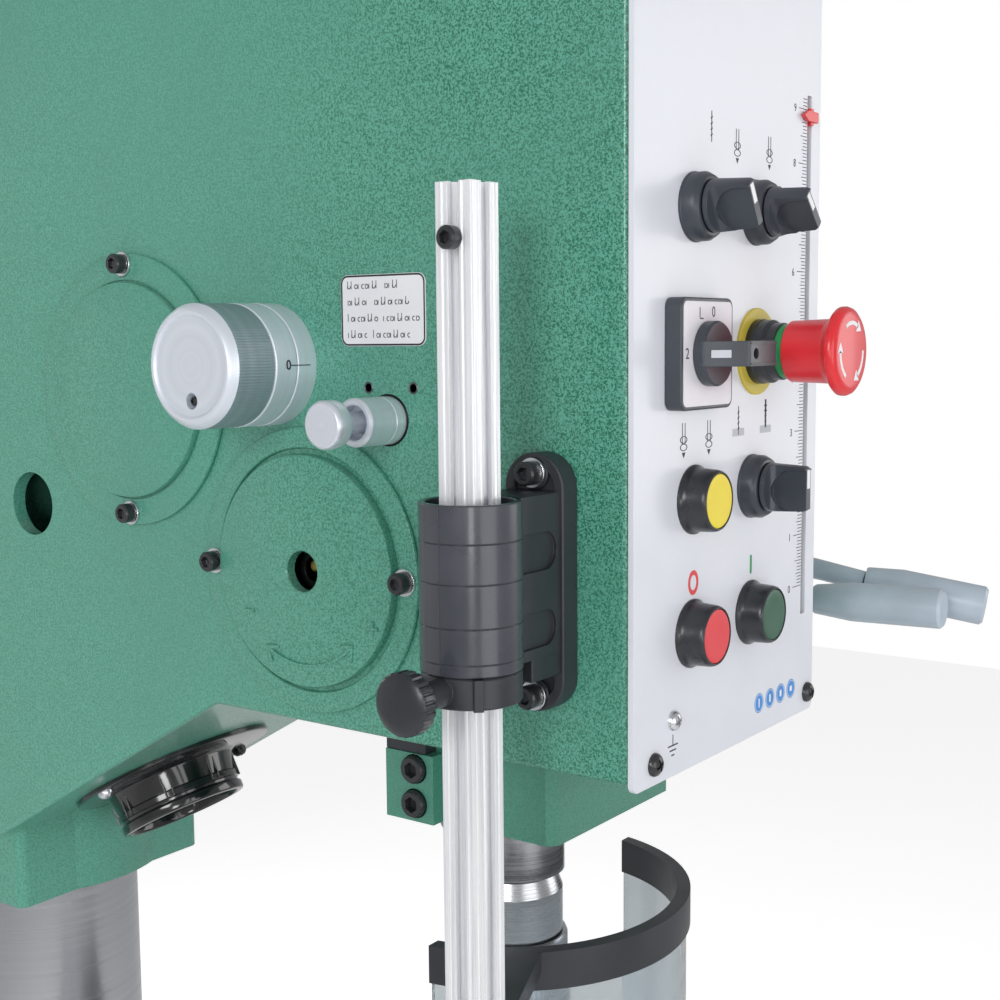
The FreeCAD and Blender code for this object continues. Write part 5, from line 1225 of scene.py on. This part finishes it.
def turning_sign(x, z):
    """Two lines with a loop round their foot, for a spindle that turns and goes down."""
    parts = [shifted(plate(0.5, 9, INK), x - 1.2, z - 1), shifted(plate(0.5, 9, INK), x + 1.2, z - 1)]
    for number, height in enumerate((-3.6, -6.8)):
        loop = turned([(2.0, 0), (2.5, 0), (2.5, INK), (2.0, INK)], 28, closed=True)
        bmesh.ops.scale(loop, vec=(1.25, 0.62, 1), verts=loop.verts)
        parts.append(shifted(loop, x, z + height))
    parts.append(shifted(prism([(-1.5, 0), (0, -2.4), (1.5, 0)], INK), x, z - 9))
    return parts


def hatching(x, z):
    """A short grey block for the work under the drill."""
    return shifted(plate(11.5, 3.4, INK * 0.6), x, z - 3.2)


signs = []
for x in (41.0, 63.5):
    signs += turning_sign(x, 147)
signs += drill_sign(91.5, 147, False) + drill_sign(119.0, 149, True)
for x in (64.0, 88.0, 120.0):
    signs += turning_sign(x, 273) if x > 70 else drill_sign(x, 273, False)
piece("tool_signs", together(*signs), "root", ink_black, on_panel(0, 0))
piece("work_signs", together(hatching(91.5, 147), hatching(119.0, 147)), "root", ink_grey,
      on_panel(0, 0))
print("signs on the panel made")


# %% Panel screws
def cross_screw(head_r=5.0, rise=3.4):
    """A pan head with a cross slot."""
    head = turned([(0, -1.0), (head_r, -1.0), (head_r, 0.9), (head_r - 0.5, 1.9),
                   (head_r * 0.62, rise - 0.35), (head_r * 0.3, rise), (0, rise)], 48)
    slots = [shifted(plate(head_r * 1.15, 1.15, 3, 0.3), 0, 0, rise - 1.7, turn) for turn in (20, 110)]
    return carved(head, *slots)


PANEL_SCREWS = ((17.0, 9.0), (169.0, 9.0), (17.0, 421.0), (158.0, 421.0))
for number, (x, z) in enumerate(PANEL_SCREWS):
    piece(f"panel_screw_{number}", cross_screw(), "root", black_oxide, on_panel(x, z))
piece("earth_screw", cross_screw(4.4, 3.2), "root", bright_zinc, on_panel(33, 24.3))

# %% [markdown]
# ## Push-buttons
# Three coloured caps sit just under the rims of tall black bezels. Bezel and cap are turnings: the bezel
# flares at its foot and rolls over at its rim. The cap's face is slightly dished, so it isn't a dead flat.

# %% Bezels and caps
PANEL_BUTTONS = {"red_button": red_cap, "green_button": green_plastic, "yellow_button": yellow_plastic}
CAP_R = 11.7
for number, (name, finish) in enumerate(PANEL_BUTTONS.items()):
    button_seat = over_panel(middle(name))
    bezel = turned([(CAP_R + 0.12, 0), (15.0, 0), (15.0, 0.8), (14.6, 1.3), (13.9, 2.2), (13.6, 4.0),
                    (13.3, 10.2), (13.0, 11.4), (12.6, 12.15), (12.2, 12.45), (CAP_R + 0.12, 12.4)], 88,
                   closed=True)
    piece(name + "_bezel", bezel, "root", black_smooth, button_seat,
          ["control_bezels"] if number == 0 else ())
    cap = turned([(0, -10), (4, -10), (4, 6.2), (CAP_R, 6.2), (CAP_R, 11.8), (CAP_R - 0.35, 12.2),
                  (CAP_R - 1.0, 12.3), (CAP_R * 0.6, 12.1), (0, 12.0)], 88)
    piece(name + "_cap", cap, name, finish, button_seat, [name])
print("buttons:", len(PANEL_BUTTONS))

# %% [markdown]
# ## Selectors
# A selector is a knob with a wing for finger and thumb. It starts as a round bar. A deep flat is milled on
# each side, which leaves the wing and a round shoulder behind it, and a shallow round pocket is sunk into
# each side of the wing. A white bar in the wing's end shows where it points.

# %% Rings, wings and markers
WING_HALF = 3.5
POCKET_DEPTH = 1.3
WING_END = 28.0
SELECTOR_R = 11.5


def milled_side(side):
    """The space beside the wing: flat outside, with a small round at its foot."""
    outline = [(20, 32), (WING_HALF + 0.3, 32), (WING_HALF, 26), *arc(WING_HALF + 3, 14.5, 3, 180, 265, 8),
               (20, 10.8)]
    shape = prism([(side * x, z) for x, z in outline], 34)
    bmesh.ops.translate(shape, vec=(0, 0, -17), verts=shape.verts)
    shape = put(shape, about("X", 90))
    bmesh.ops.recalc_face_normals(shape, faces=shape.faces)
    return shape


def side_pocket(side):
    """A shallow pocket in one side of the wing, round at its foot and open at the end."""
    outline = [(WING_END + 5, -11.0), (WING_END + 5, 8.4), *arc(21.6, -1.3, 9.7, 90, 270, 24)]
    depth = 12.0
    shape = put(prism(outline, depth), about("Y", -90))
    start = WING_HALF - POCKET_DEPTH
    bmesh.ops.translate(shape, vec=(start + depth if side > 0 else -start, 0, 0), verts=shape.verts)
    return shape


def wing_knob():
    blank = turned([(0, -10), (4, -10), (4, 2), (9.4, 2), (9.4, 8.9), (SELECTOR_R - 0.8, 8.9),
                    (SELECTOR_R - 0.4, 9.3), (SELECTOR_R - 0.6, 14), (SELECTOR_R - 1.2, WING_END - 1.6),
                    (SELECTOR_R - 2.2, WING_END), (0, WING_END)], 88)
    return carved(blank, milled_side(1), milled_side(-1), side_pocket(1), side_pocket(-1))


SELECTOR_TURN = {"lower_selector": 0, "left_selector": 30, "right_selector": 45}
for name, turn in SELECTOR_TURN.items():
    selector_seat = over_panel(pivot(name + "_turn"))
    ring = turned([(9.6, 0), (14.6, 0), (14.6, 0.9), (14.3, 1.2), (14.3, 5.6), (12.8, 8.2), (12.3, 8.5),
                   (11.0, 8.5), (10.4, 7.4), (9.6, 7.2)], 96, closed=True)
    piece(name + "_ring", ring, "root", selector_black, selector_seat)
    leaning = selector_seat @ about("Z", turn)
    piece(name + "_wing", wing_knob(), name, selector_black, leaning, [name], edge=0.35)
    marker = shifted(plate(2.8, 8.4, 0.9, 0.3), 0, 4.4, WING_END - 0.7)
    piece(name + "_marker", marker, name, ink_white, leaning, edge=0.15)
print("selectors:", len(SELECTOR_TURN))

# %% [markdown]
# ## Emergency stop
# A large red mushroom on a skirt stands over a black collar, and a yellow ring behind it makes it easy to
# find. Three curved arrows on its face show that it is turned to free it. All round parts are turnings, and
# an arrow is a flat curved band with a triangle at its end.

# %% Yellow ring, collar and post
estop_at = pivot("estop_twist")
estop_seat = over_panel(estop_at)
yellow_ring = turned([(12.0, 0), (19.6, 0), (19.6, 1.1), (19.2, 1.5), (12.6, 1.5), (12.0, 1.2)], 112,
                     closed=True)
piece("estop_yellow_ring", yellow_ring, "root", ring_yellow, estop_seat, ["estop_base"])
piece("estop_collar", turned([(5.4, 0), (14.6, 0), (14.6, 4.4), (14.2, 4.8), (14.2, 8.8), (13.6, 9.6),
                              (12.8, 10.0), (12.8, 14.0), (12.4, 14.4), (5.4, 14.4)], 96, closed=True),
      "root", black_smooth, estop_seat)
piece("estop_green_post", turned([(5.4, 14.3), (12.0, 14.3), (12.0, 23.6), (11.6, 24.0), (5.4, 24.0)], 96,
                                 closed=True),
      "root", green_ring, estop_seat)

# %% Mushroom and its arrows
MUSHROOM_FACE = 46.0
piece("estop_mushroom", turned([(12.4, 18.8), (13.4, 18.4), (13.7, 18.8), (14.2, 36.0), (14.6, 37.4),
                                (15.6, 38.7), (18.6, 40.6), (19.4, 41.4), (19.5, 42.0), (19.5, 43.2),
                                (18.9, 44.6), (17.5, 45.6), (15.0, MUSHROOM_FACE), (0, MUSHROOM_FACE),
                                (0, 36.4), (5.1, 36.4), (5.1, 28.0), (12.4, 28.0)], 128, closed=True),
      "estop_head", red_plastic, estop_seat, ["estop_head"])
arrows = []
ARROW_TIPS = (165, 45, -75)
for tip in ARROW_TIPS:
    arrows.append(band(11.5, 13.3, tip + 15, tip + 76, INK))
    head = prism([(-2.8, 0.3), (2.8, 0.3), (0, -4.4)], INK)
    arrows.append(shifted(shifted(head, 12.4), turn=tip + 16))
piece("estop_arrows", together(*arrows), "estop_head", ink_white,
      estop_seat @ along_z(MUSHROOM_FACE))
print("emergency stop face", MUSHROOM_FACE, "mm in front of the panel")

# %% [markdown]
# ## Main switch
# A square plate carries a turning disc with a bar handle, which slopes up from the left and overhangs to the
# right. A pale face is let into the plate, with plain position marks round the disc. A light bar on the
# handle's slope shows where it stands, and a screw hole is sunk in its middle.

# %% Plate, face and marks
switch_at = pivot("switch_turn")
switch_seat = over_panel(switch_at)
plate_middle = middle("switch_plate")
SWITCH_T = 8.0
switch_w = high("switch_plate").x - low("switch_plate").x
switch_h = high("switch_plate").z - low("switch_plate").z
plate_seat = over_panel(plate_middle)
piece("switch_base", plate(switch_w, switch_h, SWITCH_T, 4.2), "root", selector_black,
      plate_seat, ["switch_plate"], edge=0.8)
piece("switch_face", plate(switch_w - 3.2, switch_h - 3.2, 0.25, 2.8), "root", switch_face,
      plate_seat @ along_z(SWITCH_T - 0.1))
marks = [shifted(words("1", 6.4, INK), -7.5, 16.8), shifted(words("0", 6.4, INK), 4.5, 17.2),
         shifted(words("2", 6.4, INK), -18.0, 0)]
marks.append(shifted(plate(3.0, 0.5, INK), -6.0, 14.6))
piece("switch_marks", together(*marks), "root", ink_black,
      plate_seat @ along_z(SWITCH_T + 0.14))

# %% Disc and handle
HANDLE_HALF = 5.2


def switch_handle():
    """Handle with its side outline given along the panel and out of it."""
    outline = [(-13.2, 11.0), (-13.2, 13.0), (-11.8, 15.5), (-4.6, 28.2), (-3.2, 29.3), (2.0, 29.4),
               (20.6, 29.4), (21.8, 28.4), (21.8, 22.6), (20.8, 21.8), (12.6, 14.0), (12.6, 11.0)]
    shape = prism(outline, 2 * HANDLE_HALF)
    shape = put(shape, Matrix.Translation((0, HANDLE_HALF, 0)) @ about("X", 90))
    bmesh.ops.recalc_face_normals(shape, faces=shape.faces)
    hole = shifted(rod(2.2, 8, 32), 1.6, 0, 25.5)
    step_cut = shifted(plate(15.4, 2 * HANDLE_HALF - 1.6, 3), 13.1, 0, 28.9)
    return carved(shape, hole, step_cut)


disc = turned([(0, 8.35), (13.6, 8.35), (13.6, 12.6), (12.9, 13.4), (0, 13.4)], 96)
piece("switch_disc", disc, "switch_knob", selector_black, switch_seat, ["switch_knob"])
piece("switch_handle", switch_handle(), "switch_knob", selector_black, switch_seat, edge=0.5)
slope = math.degrees(math.atan2(28.2 - 15.5, -4.6 + 11.8))
pointer = plate(8.2, 3.2, 0.4, 0.3)
pointer_at = Matrix.Translation((-9.7, 0, 19.25)) @ about("Y", -slope)
piece("switch_pointer", pointer, "switch_knob", ink_grey, switch_seat @ pointer_at)
ridges = [shifted(plate(24.0, 0.7, 0.5, 0.2), 8.6, side * 4.2, 29.2) for side in (-1, 1)]
piece("switch_ridges", together(*ridges), "switch_knob", selector_black, switch_seat)
print("switch slope", round(slope), "degrees")

# %% Depth pointer
flag = prism([(-11, 0), (-6, -2.5), (5, -2.5), (5, 2.5), (-6, 2.5)], 2.0)
stem = shifted(plate(3.2, 8.0, 9.0), 0, 0, -8.0)
slide = shifted(plate(7.4, 12.0, 8.0, 0.8), 0, 0, -12.0)
piece("depth_flag", together(flag, stem, slide), "depth_pointer", red_plastic,
      seat((low("depth_pointer").x + 11, PANEL.y - 0.5, middle("depth_pointer").z), FRONT),
      ["depth_pointer"], edge=0.25)

# %% [markdown]
# ## Work lamp
# The lamp hangs under the slanted face: a wide thin flange, and a cup that runs in steps to its mouth. They
# are two turnings, and the cup sits a little further back than the flange. Pairs of thin ribs stiffen the
# cup, as small plates set round it by a loop. One of the lamp's two screws is bright and the other is black.

# %% Lamp cup, ribs, glass and screws
LAMP_FLANGE_R = (high("lamp_housing").x - low("lamp_housing").x) / 2
SLANT = math.radians(29.6)
lamp_centre = Vector((0, high("lamp_housing").y - LAMP_FLANGE_R * math.cos(SLANT),
                      high("lamp_housing").z - LAMP_FLANGE_R * math.sin(SLANT)))
lamp_axis = Vector((0, -math.sin(SLANT), -math.cos(SLANT)))
lamp_seat = seat(lamp_centre, lamp_axis, BACK)
CUP_BACK = 6.0
flange = turned([(0, 0.05), (61, 0.05), (61, 2.2), (60.4, 2.8), (59.4, 3.0), (41, 3.4), (0, 3.4)], 128)
cup = turned([(0, 3.0), (43, 3.0), (43, 3.4), (41.2, 4.0), (39.9, 5.0),
              (39.3, 7.0), (37.6, 16.4), (38.3, 17.0), (38.3, 20.4), (37.2, 21.0), (36.8, 22.6), (38.0, 23.4),
              (38.5, 24.0), (38.5, 27.6), (38.0, 28.6), (37.0, 29.0), (34.6, 29.0), (34.1, 28.4), (33.8, 26.6),
              (33.4, 22.0), (33.0, 12.0), (20, 8.0), (0, 8.0)], 128)
ribs = [shifted(shifted(plate(4.6, 0.9, 16.0, 0.4), 37.0, 0, 4.6), turn=45 * number + offset)
        for number in range(8) for offset in (-3.5, 3.5)]
cup_parts = [shifted(part, 0, CUP_BACK, 0) for part in (cup, *ribs)]
piece("lamp_cup", together(flange, *cup_parts), "root", gloss_black, lamp_seat,
      ["lamp_housing"], edge=0.3)
glass = turned([(0, 0), (32.6, 0), (33, 0.4), (33, 3.6), (32.6, 4), (0, 4)], 96)
piece("lamp_glass", glass, "root", lens_clear,
      lamp_seat @ Matrix.Translation((0, CUP_BACK, 14)), ["lamp_lens"])
LAMP_SCREW_X = 53.5
for name, side, finish in (("left", 1, bright_zinc), ("right", -1, black_oxide)):
    piece(f"lamp_screw_{name}", cross_screw(4.6, 3.6), "root", finish,
          lamp_seat @ Matrix.Translation((side * LAMP_SCREW_X, 0, 3.4)))
print("lamp centre", [round(v, 1) for v in lamp_centre])

# %% [markdown]
# ## Castings with softer corners
# The clamp, the column foot and the other castings have the right shape. Their copies get small rounds on
# the sharp corners, because real sand castings and milled blocks always have them.

# %% Clamp, hub, grips and castings
REFINED = [
    # The clamp and the terminal box take the darker green: painted shade.
    ("quill_clamp", "root", green_calm_shaded, "green_paint", 0.9, 4.0),
    ("feed_hub", "feed_handle", ground_steel, "ground_steel", 0.5, 3.0),
    ("feed_grips", "feed_handle", grip_grey, "grip_grey", 0.7, 3.0),
    ("clutch_lever", "clutch_lever", grip_grey, "grip_grey", 0.7, 3.0),
    ("guard_arm", "guard_bar", black_satin, "black_plastic", 0.6, 3.0),
    ("terminal_box", "root", green_calm_shaded, "green_paint", 0.9, 4.0),
    ("table_crank", "table_crank", black_oxide, "black_steel", 0.8, 3.0),
    ("table_bracket", "table_bracket", green_paint, "green_paint", 1.6, 8.0),
    ("table", "table", cast_iron, "machined_iron", 0.6, 4.0),
    ("base", "root", green_paint, "green_paint", 2.0, 8.0),
    ("column_foot", "root", green_paint, "green_paint", 1.5, 8.0),
    ("top_cover", "root", green_paint, "green_paint", 1.2, 8.0),
]
for node, body, finish, slot, edge, shortest in REFINED:
    refined(node, body, finish, edge, shortest)
print("refined castings:", len(REFINED))

# %% Dark strip over the ear: painted shade in the gap under the head
ear_low, head_low = low("quill_clamp"), low("control_panel").z - 0.4
# A black plate fills the gap between the ear and the head: painted shade.
strip = plate(24.0, 9.8, 12.0, 0.6)
piece("clamp_gap_shade", strip, "root", black_satin,
      seat((ear_low.x + 0.6, 19.0, head_low - 5.1), LEFT) @ along_z(-12.0), edge=0.3)
print("strip under the head at", round(head_low, 1))

# %% [markdown]
# ## Chuck
# The chuck's outer sleeve is turned by hand or with a key, so it is knurled. Below the knurl a short smooth
# cone runs to the jaws. As with the dial, half of the steps of the spun ring are pushed in.

# %% Knurled sleeve
sleeve_low = low("chuck_sleeve").z
SLEEVE_R = 28.5
SLEEVE_BORE_R = 22.1
CHUCK_RIBS = 72
sleeve = turned([(SLEEVE_BORE_R, 0), (26.2, 0), (27.2, 0.8), (SLEEVE_R, 4), (SLEEVE_R, 8), (28.2, 8.4),
                 (28.2, 9.4), (SLEEVE_R, 9.8), (SLEEVE_R, 51), (28.0, 52), (27.5, 53), (27.5, 69), (26.6, 71),
                 (SLEEVE_BORE_R, 71)], CHUCK_RIBS * 6, closed=True)
sleeve = ribbed(sleeve, CHUCK_RIBS, 0.5, lambda radius, height: 9.7 < height < 51.5 and radius > 28.0)
piece("chuck_grip_sleeve", sleeve, "chuck_sleeve", ground_steel,
      along_z(sleeve_low), ["chuck_sleeve"])
print("chuck ribs:", CHUCK_RIBS)

# %% [markdown]
# ## Motor details
# The motor's fan draws air through a grille in its cover: rings on a few spokes over a dark opening. A plate
# without words sits on the shell.

# %% Fan grille and rating plate
motor_at = middle("motor_housing")
motor_top = high("motor_housing").z
# The black disc under the rings is painted shade in the fan opening.
grille = [finish_with(shifted(turned([(0, 0), (54, 0), (54, 0.3), (0, 0.3)], 96), 0, 0, 0.1), 1)]
for radius in range(12, 56, 7):
    section = [(radius - 1.4, 0), (radius + 1.4, 0), (radius + 1.1, 1.6), (radius - 1.1, 1.6)]
    grille.append(shifted(turned(section, 96, closed=True), z=0.2))
grille += [shifted(shifted(plate(42, 3.0, 1.5, 0.6), 32, 0, 0.2), turn=60 * spoke) for spoke in range(6)]
grille.append(shifted(turned([(0, 0), (9, 0), (9, 1.7), (0, 2.3)], 48), 0, 0, 0.2))
piece("fan_grille", together(*grille), "root", [green_calm_shaded, black_satin],
      Matrix.Translation((motor_at.x, motor_at.y, motor_top - 0.05)))

RATING_R = 70.2
rating_plate = band(RATING_R, RATING_R + 0.8, 205, 245, 34, 16)
piece("rating_plate", rating_plate, "root", bright_zinc,
      Matrix.Translation((motor_at.x, motor_at.y, low("motor_housing").z + 100)), edge=0.15)
print("grille on", round(motor_top))

# %% [markdown]
# ## Screws of the lid and the motor
# The lid of the gearbox and the flange of the motor are held by socket screws, set out by loops.

# %% Lid and motor screws
lid_top = low("top_cover").z + 37.0
LID_SCREWS = [(side * 74.0, y) for side in (-1, 1) for y in (-104.0, 40.0, 250.0, 400.0)]
for number, (x, y) in enumerate(LID_SCREWS):
    piece(f"lid_screw_{number}", socket_screw(8, 0, 17 * number), "root", SCREW_FINISH,
          seat((x, y, lid_top), UP, BACK))
screw_circle("motor_screw", motor_at, 70.5, low("motor_housing").z + 14, 8, 9)
print("lid screws:", len(LID_SCREWS))

# %% [markdown]
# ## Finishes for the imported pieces
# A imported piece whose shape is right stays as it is, and gets the finish of its slot.

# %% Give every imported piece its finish
finish_of_slot = {
    "green_paint": green_paint,
    "machined_iron": cast_iron,
    "ground_steel": ground_steel,
    "spring_steel": blued_steel,
    "black_steel": black_oxide,
    "panel_white": panel_white,
    "black_plastic": black_satin,
    "gloss_black": gloss_black,
    "lens_clear": lens_clear,
    "shield_clear": shield_clear,
    "bar_aluminium": extruded,
    "silver_satin": dial_satin,
    "red_plastic": red_plastic,
    "green_plastic": green_plastic,
    "yellow_plastic": yellow_plastic,
    "label_white": label_white,
    "grip_grey": grip_grey,
}
slot_of_node = {name: node.material_slots[0].material.name for name, node in nodes.items()}
for name, node in nodes.items():
    for number in range(len(node.material_slots)):
        node.material_slots[number].material = finish_of_slot[slot_of_node[name]]
nodes["column"].material_slots[0].material = column_steel
print("packed pieces finished:", len(slot_of_node), " new pieces:", len(made_pieces))
